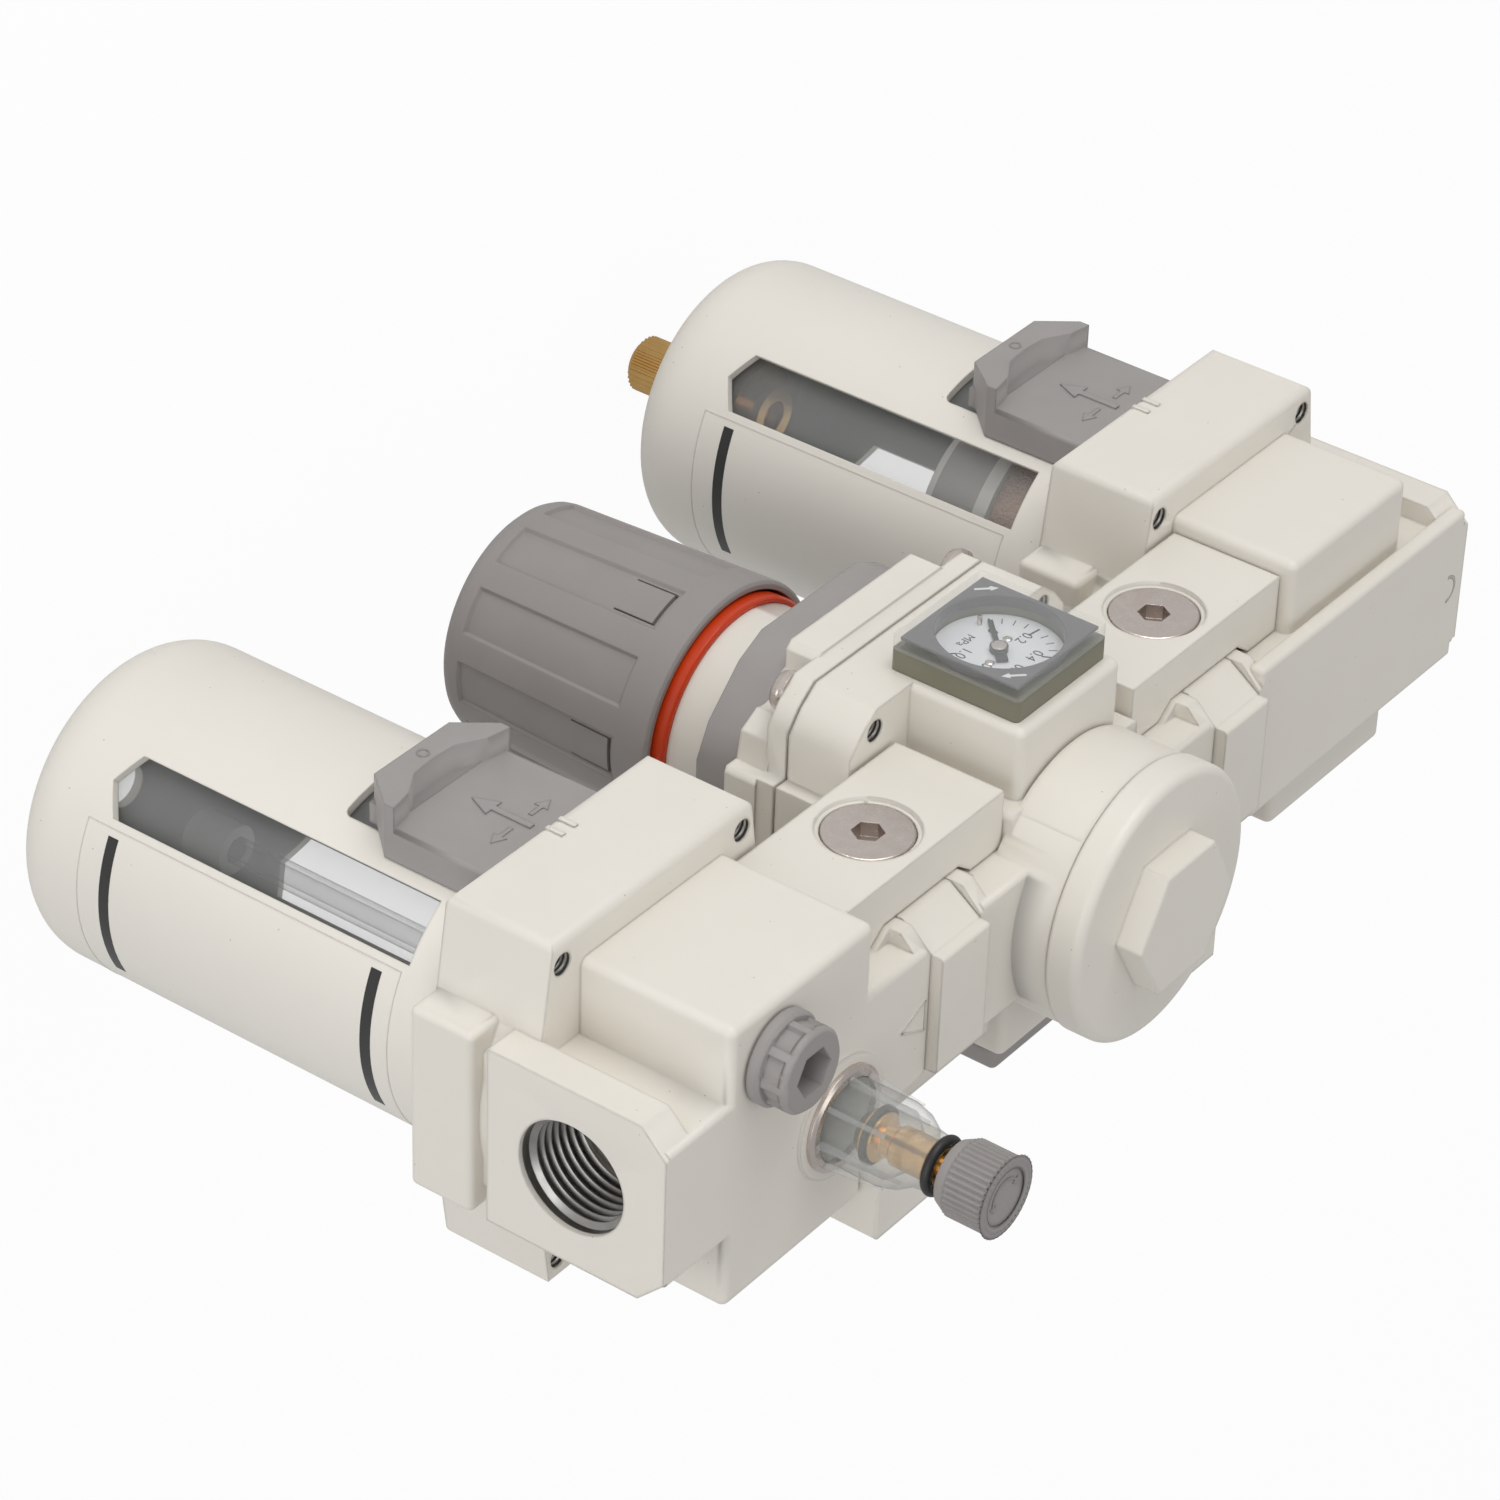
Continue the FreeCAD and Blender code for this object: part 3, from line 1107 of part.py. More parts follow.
# sight dome, its ring, the needle and its knob
pocket_floor = d.body_top - 7.4
dome_inner = d.dome_radius - 1.4
stem_bore = 3.6
label_node(put(turned("dome", [
    (2.0, pocket_floor + 0.1), (d.dome_radius, pocket_floor + 0.1), (d.dome_radius, 30.0),
    (d.dome_radius - 0.8, 33.0), (stem_bore + 1.6, 35.6), (stem_bore + 1.3, d.dome_top),
    (stem_bore, d.dome_top),
    (stem_bore, 33.4), (dome_inner, 30.4), (dome_inner, pocket_floor + 1.6), (2.0, pocket_floor + 1.6)]),
    dome_x, d.dome_y), "sight_dome")
label_node(put(turned("dome_collar", [
    (d.dome_radius + 0.1, d.body_top + 0.62), (d.dome_ring_radius, d.body_top + 0.62),
    (d.dome_ring_radius, d.body_top + 1.3), (d.dome_ring_radius - 0.6, d.body_top + 1.8),
    (d.dome_radius + 0.1, d.body_top + 1.8)]), dome_x, d.dome_y), "dome_ring")
thread_radius = stem_bore - 0.05
label_node(put(turned("needle_housing", [
    (2.0, 24.0), (3.4, 24.0), (4.4, 25.4), (4.4, 27.6), (2.9, 28.4), (2.9, 30.2), (thread_radius, 30.8),
    (thread_radius, 39.6), (2.0, 39.6)]), dome_x, d.dome_y), "needle_stem")
label_node(group("needle_o_ring_set",
                 ring("lower_needle_seal", 4.9, 0.45, dome_x, d.dome_y, 26.5),
                 ring("upper_needle_seal", 4.5, 0.88, dome_x, d.dome_y, d.dome_top + 0.95)), "needle_seals")
label_node(ring("needle_washer_ring", 2.4, 0.33, dome_x, d.dome_y, d.needle_knob_bottom - 0.36),
           "needle_washer")
label_node(put(turned("needle_screw", [
    (0, 22.0), (0.6, 23.0), (1.95, 25.0), (1.95, d.needle_knob_bottom),
    (d.needle_knob_radius - 1.1, d.needle_knob_bottom), (d.needle_knob_radius, d.needle_knob_bottom + 1.4),
    (d.needle_knob_radius, d.needle_knob_top), (0, d.needle_knob_top)],
    [(d.needle_knob_radius, d.needle_knob_top, 0.7)]), dome_x, d.dome_y), "needle_knob")

# ------------------------------------------------------------- output

doc.recompute()
faults = [f"{item.Label}: {item.State}" for item in doc.Objects
          if "Invalid" in item.State or "Error" in item.State]
for node in NODES:
    shape = node.Shape
    if shape.isNull() or not shape.isValid() or not shape.Solids:
        faults.append(f"{node.Label}: bad shape")
labels = [node.Label for node in NODES]
if len(set(labels)) != len(labels):
    faults.append("two nodes share a label")
if faults:
    raise RuntimeError("; ".join(faults))

os.makedirs("parts", exist_ok=True)
for node in NODES:
    node.Shape.exportStep(f"parts/{node.Label}.step")
print(len(NODES), "nodes written")
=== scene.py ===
# %% [markdown]
# # Dressing a filter, regulator and lubricator row
# The row comes from the CAD as plain named solids. This lesson loads it, gives every
# solid a smooth-shaded copy with a painted, moulded or machined finish, and models the
# small things that the CAD leaves plain: threads, flutes, knob panels, dial and marks.

# %% Load the frame
import json
import math

import bmesh
import bpy
from mathutils import Matrix, Vector


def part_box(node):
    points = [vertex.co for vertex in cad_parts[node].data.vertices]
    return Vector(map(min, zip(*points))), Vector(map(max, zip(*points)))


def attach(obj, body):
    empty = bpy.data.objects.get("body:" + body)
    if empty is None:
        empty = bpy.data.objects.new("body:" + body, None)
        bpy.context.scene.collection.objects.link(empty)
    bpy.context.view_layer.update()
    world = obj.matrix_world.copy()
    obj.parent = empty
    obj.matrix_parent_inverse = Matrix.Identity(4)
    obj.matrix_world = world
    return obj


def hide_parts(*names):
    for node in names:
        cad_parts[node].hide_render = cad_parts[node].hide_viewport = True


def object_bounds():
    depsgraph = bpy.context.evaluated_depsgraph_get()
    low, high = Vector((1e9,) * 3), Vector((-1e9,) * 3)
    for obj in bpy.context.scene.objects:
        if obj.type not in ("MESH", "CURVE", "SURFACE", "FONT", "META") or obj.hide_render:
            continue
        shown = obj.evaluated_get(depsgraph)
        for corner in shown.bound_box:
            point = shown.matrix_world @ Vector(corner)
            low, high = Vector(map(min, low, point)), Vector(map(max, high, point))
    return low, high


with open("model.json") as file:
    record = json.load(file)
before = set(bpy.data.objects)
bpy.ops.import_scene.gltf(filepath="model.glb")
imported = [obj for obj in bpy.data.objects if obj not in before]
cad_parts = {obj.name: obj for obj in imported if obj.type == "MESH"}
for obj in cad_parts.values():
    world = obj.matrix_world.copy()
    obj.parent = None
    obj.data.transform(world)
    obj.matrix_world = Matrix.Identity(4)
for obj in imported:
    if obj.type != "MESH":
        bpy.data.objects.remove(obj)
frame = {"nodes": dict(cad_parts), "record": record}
cad_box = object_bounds()
record = frame["record"]
slot_of = {part["node"]: part["material_slot"] for part in record["subparts"]}
body_of = {node: body for body, nodes in record["behaviour"]["bodies"].items() for node in nodes}
MM = 0.001

# %% [markdown]
# ## Shader sums written as Python
# A finish is mostly arithmetic on a few patterns. Wrapping a socket in a small class
# lets that arithmetic be read as a formula, and one method makes every other node.

# %% The socket wrapper and the node maker


class Signal:
    """A node's output that can be added, multiplied and compared."""

    def __init__(self, nodes, socket):
        self.nodes = nodes
        self.socket = socket

    def _sum(self, operation, first, second):
        made = self.nodes.node("ShaderNodeMath", {"operation": operation}, {0: first, 1: second})
        return made["Value"]

    def __add__(self, other):
        return self._sum("ADD", self, other)

    def __radd__(self, other):
        return self._sum("ADD", other, self)

    def __sub__(self, other):
        return self._sum("SUBTRACT", self, other)

    def __rsub__(self, other):
        return self._sum("SUBTRACT", other, self)

    def __mul__(self, other):
        return self._sum("MULTIPLY", self, other)

    def __rmul__(self, other):
        return self._sum("MULTIPLY", other, self)

    def __gt__(self, other):
        return self._sum("GREATER_THAN", self, other)

    def __lt__(self, other):
        return self._sum("LESS_THAN", self, other)

    def __pow__(self, other):
        return self._sum("POWER", self, other)


class Made:
    """A node whose outputs are read by name, as signals."""

    def __init__(self, nodes, node):
        self.nodes = nodes
        self.node = node

    def __getitem__(self, name):
        return Signal(self.nodes, self.node.outputs[name])


class Nodes:
    """The node tree of a material or of the world, being built."""

    def __init__(self, owner):
        owner.use_nodes = True
        self.tree = owner.node_tree
        self.tree.nodes.clear()

    def node(self, kind, settings=None, inputs=None):
        """Makes a node, sets it up first, and then fills or links its sockets."""
        node = self.tree.nodes.new(kind)
        for name, value in (settings or {}).items():
            setattr(node, name, value)
        for name, value in (inputs or {}).items():
            if isinstance(value, Signal):
                self.tree.links.new(value.socket, node.inputs[name])
            else:
                node.inputs[name].default_value = value
        return Made(self, node)


class Finish(Nodes):
    """A material whose patterns lie on the piece's own coordinates."""

    def __init__(self, name):
        self.material = bpy.data.materials.new(name)
        super().__init__(self.material)
        self.place = self.node("ShaderNodeTexCoord")["Object"]

    def noise(self, size_mm, detail=2.0):
        """Soft blotches about size_mm across, from 0 to 1."""
        return self.node("ShaderNodeTexNoise", None, {
            "Vector": self.place, "Scale": 1.0 / (size_mm * MM), "Detail": detail})["Fac"]

    def grains(self, size_mm):
        """Distance from the nearest of many points, size_mm apart."""
        return self.node("ShaderNodeTexVoronoi", None, {
            "Vector": self.place, "Scale": 1.0 / (size_mm * MM)})["Distance"]

    def mix(self, factor, first, second):
        return self.node("ShaderNodeMix", {"data_type": "RGBA"}, {
            "Factor": factor, 6: first, 7: second})[2]

    def height(self):
        return self.node("ShaderNodeSeparateXYZ", None, {"Vector": self.place})["Z"]

    def edges(self, radius_mm):
        """Normals that turn softly over every edge and inner corner."""
        return self.node("ShaderNodeBevel", {"samples": 4}, {"Radius": radius_mm * MM})["Normal"]

    def bump(self, pattern, height_mm, strength=1.0, normal=None):
        inputs = {"Height": pattern, "Strength": strength, "Distance": height_mm * MM}
        if normal:
            inputs["Normal"] = normal
        return self.node("ShaderNodeBump", None, inputs)["Normal"]

    def surface(self, **inputs):
        """Ends the material in a Principled shader with these inputs."""
        names = {name.replace("_", " "): value for name, value in inputs.items()}
        shader = self.node("ShaderNodeBsdfPrincipled", None, names)["BSDF"]
        self.node("ShaderNodeOutputMaterial", None, {"Surface": shader})
        return self.material


def colour(red, green, blue):
    return (red, green, blue, 1.0)


# %% [markdown]
# ## Painted castings
# The housings are die-cast aluminium under a light warm powder coat. It is not quite
# flat: there is a faint orange peel, a few dust specks and slow changes of tone. The
# casting's edges are soft, so a Bevel node turns the normals over them.

# %% Powder coat


def painted(name, base, shade, edge_mm, gloss=0.36):
    finish = Finish(name)
    peel = finish.noise(1.3, 3.0)
    tone = finish.noise(14.0, 2.0)
    speck = finish.grains(4.2) < 0.035
    coat = finish.mix(tone, colour(*base), colour(*shade))
    coat = finish.mix(speck * 0.55, coat, colour(0.30, 0.26, 0.21))
    return finish.surface(
        Base_Color=coat, Roughness=gloss + 0.12 * peel,
        Normal=finish.bump(peel, 0.035, 0.35, finish.edges(edge_mm)),
        Coat_Weight=0.12, Coat_Roughness=0.2)


CREAM = (0.800, 0.768, 0.705)
CREAM_SHADE = (0.770, 0.735, 0.668)
finishes = {
    "cream_paint": painted("powder_coat", CREAM, CREAM_SHADE, 0.9),
    "cream_guard": painted("guard_paint", (0.815, 0.785, 0.725), CREAM, 0.5, 0.30),
    "cream_plastic": painted("bonnet_nylon", (0.79, 0.76, 0.695), CREAM_SHADE, 0.8, 0.42),
}
print("painted:", sorted(finishes))

# %% [markdown]
# ## Moulded plastic
# Knob, buttons, plug and panel nut are a warm grey plastic straight from a spark-eroded
# mould, so the surface has a very fine grain and a dull, wide highlight.

# %% Moulded plastics


def moulded(name, base, shade, gloss, edge_mm):
    finish = Finish(name)
    grain = finish.noise(0.22, 2.0)
    flow = finish.noise(9.0, 3.0)
    tint = finish.mix(flow, colour(*base), colour(*shade))
    return finish.surface(
        Base_Color=tint, Roughness=gloss + 0.14 * grain,
        Normal=finish.bump(grain, 0.02, 0.35, finish.edges(edge_mm)))


MOULDINGS = {
    # finish: material, colour, colour where the plastic flowed, roughness, soft edge in mm
    "grey_plastic": ("grey_nylon", (0.355, 0.335, 0.330), (0.315, 0.297, 0.292), 0.44, 0.5),
    "knob_plastic": ("knob_nylon", (0.325, 0.303, 0.295), (0.29, 0.27, 0.262), 0.40, 0.35),
    "orange_plastic": ("orange_acetal", (0.66, 0.055, 0.006), (0.56, 0.035, 0.004), 0.16, 0.3),
    "black_rubber": ("nitrile_rubber", (0.016, 0.016, 0.017), (0.03, 0.03, 0.03), 0.40, 0.2),
    "gauge_base_plastic": ("olive_plastic", (0.215, 0.205, 0.150), (0.185, 0.18, 0.13), 0.34, 0.5),
    "gauge_mask_plastic": ("mask_print", (0.125, 0.118, 0.125), (0.105, 0.10, 0.108), 0.30, 0.5),
    "dial_paint": ("dial_white", (0.84, 0.86, 0.89), (0.78, 0.80, 0.83), 0.45, 0.1),
    "black_paint": ("pointer_black", (0.015, 0.016, 0.022), (0.03, 0.03, 0.035), 0.35, 0.05),
    "ink": ("label_ink", (0.018, 0.018, 0.018), (0.03, 0.03, 0.03), 0.30, 0.05),
}
for name, recipe in MOULDINGS.items():
    finishes[name] = moulded(*recipe)
print("moulded:", len(MOULDINGS))

# %% [markdown]
# The filter's baffle and deflector are acetal. The baffle has a pale lip above and
# below a darker band, which is only a colour that changes with height.

# %% Inner plastic


def banded_acetal(name, low_mm, high_mm):
    finish = Finish(name)
    level = finish.height()
    band = (level > low_mm * MM) * (level < high_mm * MM)
    grain = finish.noise(0.6, 2.0)
    tint = finish.mix(band, colour(0.72, 0.71, 0.68), colour(0.33, 0.30, 0.285))
    return finish.surface(
        Base_Color=tint, Roughness=0.34 + 0.12 * grain,
        Normal=finish.bump(grain, 0.02, 0.3, finish.edges(0.3)))


baffle_low, baffle_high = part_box("filter_baffle")
finishes["inner_plastic"] = banded_acetal(
    "baffle_acetal", baffle_low.z / MM + 1.4, baffle_high.z / MM - 2.8)

# %% [markdown]
# ## Metals
# Turned brass and nickelled screws carry rings from the lathe tool. A fine noise that
# changes only with height breaks up the highlight in the same way, and needs no axis.
# The filter element is bronze powder, pressed and sintered: a heap of tiny round grains.

# %% Turned and plated metals


def turned_metal(name, base, worn, gloss, ring_mm):
    finish = Finish(name)
    level = finish.height()
    rings = finish.node("ShaderNodeTexNoise", {"noise_dimensions": "1D"}, {
        "W": level, "Scale": 1.0 / (ring_mm * MM), "Detail": 3.0})["Fac"]
    tarnish = finish.noise(2.2, 3.0)
    tint = finish.mix(tarnish, colour(*base), colour(*worn))
    return finish.surface(
        Base_Color=tint, Metallic=1.0, Roughness=gloss + 0.16 * tarnish,
        Normal=finish.bump(rings, 0.012, 0.3, finish.edges(0.18)))


METALS = {
    # finish: material, colour, tarnished colour, roughness, tool ring in mm
    "brass": ("turned_brass", (0.80, 0.53, 0.22), (0.68, 0.42, 0.15), 0.14, 0.12),
    "nickel_steel": ("nickel_plate", (0.72, 0.655, 0.62), (0.60, 0.53, 0.49), 0.20, 0.25),
    "spring_steel": ("spring_wire", (0.46, 0.46, 0.47), (0.36, 0.36, 0.37), 0.24, 0.3),
    "turned_aluminium": ("turned_alloy", (0.72, 0.73, 0.74), (0.62, 0.63, 0.64), 0.26, 0.2),
    "bare_casting": ("cut_zinc", (0.43, 0.42, 0.40), (0.30, 0.29, 0.28), 0.24, 0.3),
}
for name, recipe in METALS.items():
    finishes[name] = turned_metal(*recipe)


def sintered_bronze():
    finish = Finish("sintered_bronze")
    grains = finish.grains(0.42)
    clumps = finish.noise(1.6, 3.0)
    tint = finish.mix(clumps, colour(0.68, 0.455, 0.35), colour(0.50, 0.315, 0.225))
    # Colour darkens towards the gaps between grains, where the bump sinks: painted shade in the
    # pores.
    tint = finish.mix(grains, tint, colour(0.36, 0.215, 0.15))
    return finish.surface(
        Base_Color=tint, Metallic=0.55, Roughness=0.36 + 0.25 * grains,
        Normal=finish.bump(1.0 - grains, 0.16, 0.8))


finishes["sintered_bronze"] = sintered_bronze()
print("metals:", len(METALS) + 1)

# %% [markdown]
# ## Clear plastic
# Real polycarbonate bends light, but a bowl that is hollow and full of parts turns dark
# when every ray has to be refracted. An almost clear surface whose cover rises at a
# grazing angle lets light in and keeps the bright reflections along its edges. Towards
# those edges its colour also turns dark grey: a painted dark rim standing in for refraction.

# %% Polycarbonate


def clear_plastic(name, body, rim, tint):
    finish = Finish(name)
    facing = finish.node("ShaderNodeLayerWeight", None, {"Blend": 0.35})["Facing"]
    haze = finish.noise(7.0, 2.0)
    pale = finish.mix(haze, colour(*tint), colour(*[0.93 * part for part in tint]))
    # Base colour turns dark grey towards grazing angles: a painted dark rim that stands in for the
    # dark refraction and reflection at the edges.
    return finish.surface(
        Base_Color=finish.mix(facing ** 1.6, pale, colour(0.10, 0.105, 0.11)),
        Alpha=body + rim * facing ** 2.2, Roughness=0.04 + 0.05 * haze, IOR=1.58,
        Normal=finish.bump(finish.noise(5.0, 1.0), 0.05, 0.25))


finishes["clear_plastic"] = clear_plastic("polycarbonate", 0.13, 0.75, (0.80, 0.82, 0.82))
finishes["lens"] = clear_plastic("gauge_lens_clear", 0.07, 0.65, (0.88, 0.90, 0.90))
finishes["dome_clear"] = clear_plastic("dome_clear", 0.15, 0.80, (0.80, 0.82, 0.81))
print(len(finishes), "finishes")

# %% [markdown]
# ## Putting a mesh on a body
# Each new piece is made in a bmesh, in place, and then shown on the CAD body that it
# moves with. Edges sharper than a given angle stay sharp and all others are smooth. A
# Weighted Normal modifier lets the big flat faces decide the shading beside them.

# %% Show a bmesh as a piece


def show(bm, name, finish, body, sharp=32.0, stands_for=None):
    mesh = bpy.data.meshes.new(name)
    bm.to_mesh(mesh)
    bm.free()
    mesh.materials.append(finishes[finish])
    mesh.shade_smooth()
    mesh.set_sharp_from_angle(angle=math.radians(sharp))
    piece = bpy.data.objects.new(name, mesh)
    bpy.context.scene.collection.objects.link(piece)
    even = piece.modifiers.new("even_shading", "WEIGHTED_NORMAL")
    even.mode = "FACE_AREA"
    even.keep_sharp = True
    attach(piece, body)
    if stands_for:
        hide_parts(stands_for)
    print(name, len(mesh.polygons), "faces")


# %% [markdown]
# A CAD solid arrives as loose triangles, which shade flat. A merged copy can be shaded
# smoothly, and it then stands for the solid. Triangles that lie in one plane become one
# face, so that a flat wall is weighed as a whole.

# %% Dress a CAD solid


def dressed(node, finish=None):
    bm = bmesh.new()
    bm.from_mesh(frame["nodes"][node].data)
    bmesh.ops.remove_doubles(bm, verts=bm.verts, dist=1e-6)
    bmesh.ops.dissolve_limit(bm, angle_limit=math.radians(0.4), verts=bm.verts, edges=bm.edges)
    slot = slot_of[node]
    show(bm, node + "_dressed", finish or slot, body_of[node], 30.0, node)


REMODELLED = {"regulator_knob", "needle_knob", "drain_knob"}
SPECIAL = {"gauge_cover": "lens", "sight_dome": "dome_clear"}
for node in sorted(slot_of):
    if node not in REMODELLED:
        dressed(node, SPECIAL.get(node))

# %% [markdown]
# ## Turning a profile
# Round pieces are spun from a profile of radius and height pairs. A full turn joins its
# own two ends; a part turn or a helix stays open. Points on the axis fall on each other,
# so doubles are merged next, and only then are the normals pointed outwards.

# %% The spin helper


def chain(bm, points, closed):
    """Vertices joined by edges, closed into a loop or left open."""
    verts = [bm.verts.new(point) for point in points]
    ends = range(len(verts)) if closed else range(1, len(verts))
    edges = [bm.edges.new((verts[i - 1], verts[i])) for i in ends]
    return verts + edges


def spin(bm, profile, centre, axis, angle=360.0, steps=64, start=0.0, closed=True, climb=0.0):
    """Sweeps (radius, distance along the axis) pairs in millimetres around an axis."""
    way = Vector(axis).normalized()
    side = way.orthogonal().normalized() if abs(way.z) < 0.9 else Vector((1, 0, 0))
    side = Matrix.Rotation(math.radians(start), 3, way) @ side
    points = [centre + (side * radius + way * along) * MM for radius, along in profile]
    geometry = chain(bm, points, closed)
    full_turn = angle == 360.0 and climb == 0.0
    bmesh.ops.spin(bm, geom=geometry, cent=centre, axis=way, dvec=way * (climb * MM / steps),
                   angle=math.radians(angle), steps=steps, use_merge=full_turn,
                   use_duplicate=False)


def tidy(bm, merge_mm=0.002):
    bmesh.ops.remove_doubles(bm, verts=bm.verts, dist=merge_mm * MM)
    bmesh.ops.recalc_face_normals(bm, faces=bm.faces)


# %% [markdown]
# ## Threads
# A pipe thread is a small tooth that climbs a helix. Spin does this too, when each
# step also moves along the axis. A thin bare-metal lining sits behind the teeth.

# %% Port threads and tapped holes


def tapped(bm, mouth, axis, radius, depth, pitch, tooth, steps):
    """A lining and a helical tooth in a hole whose mouth and inward axis are given."""
    spin(bm, [(radius - 0.02, 0.0), (radius - 0.02, depth), (radius - 0.06, depth),
              (radius - 0.06, 0.0)], mouth, axis, steps=steps)
    turns = int(depth / pitch) - 1
    spin(bm, [(radius - 0.05, 0.1), (radius - tooth, 0.42 * pitch), (radius - tooth, 0.52 * pitch),
              (radius - 0.05, 0.92 * pitch)], mouth, axis, 360.0 * turns, steps * turns,
         climb=pitch * turns)


mounts = {mount["name"]: mount for mount in record["mounts"]}
PIPE_PITCH, PIPE_TOOTH, PIPE_RECESS = 1.814, 1.15, 0.8
SCREW_PITCH, SCREW_TOOTH = 0.8, 0.34
THREAD_SHARP = 40.0
for end in ("inlet", "outlet"):
    mount = mounts[end + "_port"]
    inward = -Vector(mount["axis"])
    mouth = Vector(mount["pos_m"]) + inward * PIPE_RECESS * MM
    bm = bmesh.new()
    tapped(bm, mouth, inward, mount["dims"]["r_mm"], mount["dims"]["length_mm"] - 1.2,
           PIPE_PITCH, PIPE_TOOTH, 64)
    tidy(bm)
    show(bm, end + "_thread", "bare_casting", "housing", THREAD_SHARP)

for unit in ("filter", "lubricator"):
    mount = mounts[unit + "_hood_holes"]
    dims = mount["dims"]
    bm = bmesh.new()
    for sx in (-0.5, 0.5):
        for sy in (-0.5, 0.5):
            mouth = Vector(mount["pos_m"]) + Vector(
                (sx * dims["spacing_x_mm"], sy * dims["spacing_y_mm"], -0.25)) * MM
            tapped(bm, mouth, (0, 0, -1), dims["hole_r_mm"], 9.5, SCREW_PITCH, SCREW_TOOTH, 20)
    tidy(bm)
    show(bm, mount["name"] + "_thread", "bare_casting", "housing", THREAD_SHARP)

# %% [markdown]
# The regulator has four such holes as well, straight above its bonnet screws and level
# with the holes of its neighbours, so both sizes are read from those pieces.

# %% The regulator's four upper holes
screw_low, screw_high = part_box("bonnet_screws")
HEAD_RADIUS = 3.9
shoulder_z = mounts["filter_hood_holes"]["pos_m"][2]
bm = bmesh.new()
for hole_x in (screw_low.x + HEAD_RADIUS * MM, screw_high.x - HEAD_RADIUS * MM):
    for hole_y in (screw_low.y + HEAD_RADIUS * MM, screw_high.y - HEAD_RADIUS * MM):
        mouth = Vector((hole_x, hole_y, shoulder_z - 0.2 * MM))
        tapped(bm, mouth, (0, 0, -1), 2.1, 3.6, SCREW_PITCH, SCREW_TOOTH, 20)
tidy(bm)
show(bm, "bonnet_hole_thread", "bare_casting", "housing", THREAD_SHARP)

# %% [markdown]
# ## The pressure knob
# The knob is a deep cup with ten long sunk panels. Every second panel has a springy
# tongue, cut free by a U-shaped slot. The cup is spun in uneven steps, so that edges
# fall where the panels and slots need them, and inset then sinks the chosen faces.

# %% Knob sizes
knob_low, knob_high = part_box("regulator_knob")
knob_x = (knob_low.x + knob_high.x) / 2
knob_rim = knob_high.z / MM
knob_end = knob_low.z / MM
rim_radius = (knob_high.x - knob_low.x) / 2 / MM
end_radius = rim_radius - 2.0
knob_centre = Vector((knob_x, 0, 0))
PANELS = 10
PANEL_TURN = 360.0 / PANELS
FIRST_PANEL = -33.6
panel_low, panel_high = knob_end + 5.0, knob_rim - 7.2
tongue_low, tongue_high, slot_width = panel_high - 10.0, panel_high - 1.6, 0.75
HUB_RADIUS, HUB_END, SCREW_BORE = 8.2, -79.0, 5.06
print("knob", round(2 * rim_radius, 1), "x", round(knob_rim - knob_end, 1), "mm")


def knob_radius(level):
    share = (level - knob_end) / (knob_rim - knob_end)
    return end_radius + (rim_radius - end_radius) * share


# %% Knob shell
bm = bmesh.new()
end_round = 3.6
rows = [(0.0, knob_end), (end_radius - end_round - 2, knob_end)]
for k in range(6):
    turn = math.radians(90.0 * k / 5)
    rows.append((end_radius - end_round * (1 - math.sin(turn)) + 0.15 * k / 5,
                 knob_end + end_round * (1 - math.cos(turn))))
for level in (panel_low, tongue_low, tongue_low + slot_width, tongue_high,
              tongue_high + slot_width, panel_high, knob_rim - 1.4):
    rows.append((knob_radius(level), level))
rows += [(rim_radius - 0.15, knob_rim - 0.45), (rim_radius - 0.7, knob_rim),
         (rim_radius - 1.6, knob_rim), (rim_radius - 1.8, knob_rim - 0.6),
         (end_radius - 1.7, knob_end + 2.8), (HUB_RADIUS, knob_end + 2.8), (HUB_RADIUS, HUB_END),
         (SCREW_BORE, HUB_END), (SCREW_BORE, knob_end + 6.4), (0.0, knob_end + 6.4)]
# Angles off a panel's middle, each with the spin steps that lead up to it.
SLOT_INNER, SLOT_OUTER, PANEL_EDGE = 8.6, 9.4, 11.4
OFFSETS = ((-PANEL_TURN / 2, 0), (-PANEL_EDGE, 3), (-SLOT_OUTER, 1), (-SLOT_INNER, 1),
           (SLOT_INNER, 6), (SLOT_OUTER, 1), (PANEL_EDGE, 1), (PANEL_TURN / 2, 3))
start = math.radians(FIRST_PANEL - PANEL_TURN / 2)
aim = Vector((math.cos(start), math.sin(start), 0))
current = chain(bm, [knob_centre + (aim * r + Vector((0, 0, z))) * MM for r, z in rows], False)
for panel in range(PANELS):
    for (before, _), (after, steps) in zip(OFFSETS, OFFSETS[1:]):
        made = bmesh.ops.spin(bm, geom=current, cent=knob_centre, axis=(0, 0, 1), dvec=(0, 0, 0),
                              angle=math.radians(after - before), steps=steps,
                              use_merge=False, use_duplicate=False)
        current = made["geom_last"]
tidy(bm)
print("knob shell", len(bm.faces), "faces")


# %% Knob panels and tongues
def knob_faces(panel, low, high, inner, outer):
    """Outside faces of one panel between two levels and two angles off its middle."""
    chosen = []
    for face in bm.faces:
        middle = face.calc_center_median() - knob_centre
        level = middle.z / MM
        if not low < level < high or middle.xy.length / MM < knob_radius(level) - 1.0:
            continue
        angle = math.degrees(math.atan2(middle.y, middle.x)) - FIRST_PANEL - PANEL_TURN * panel
        if inner < abs((angle + 180.0) % 360.0 - 180.0) < outer:
            chosen.append(face)
    return chosen


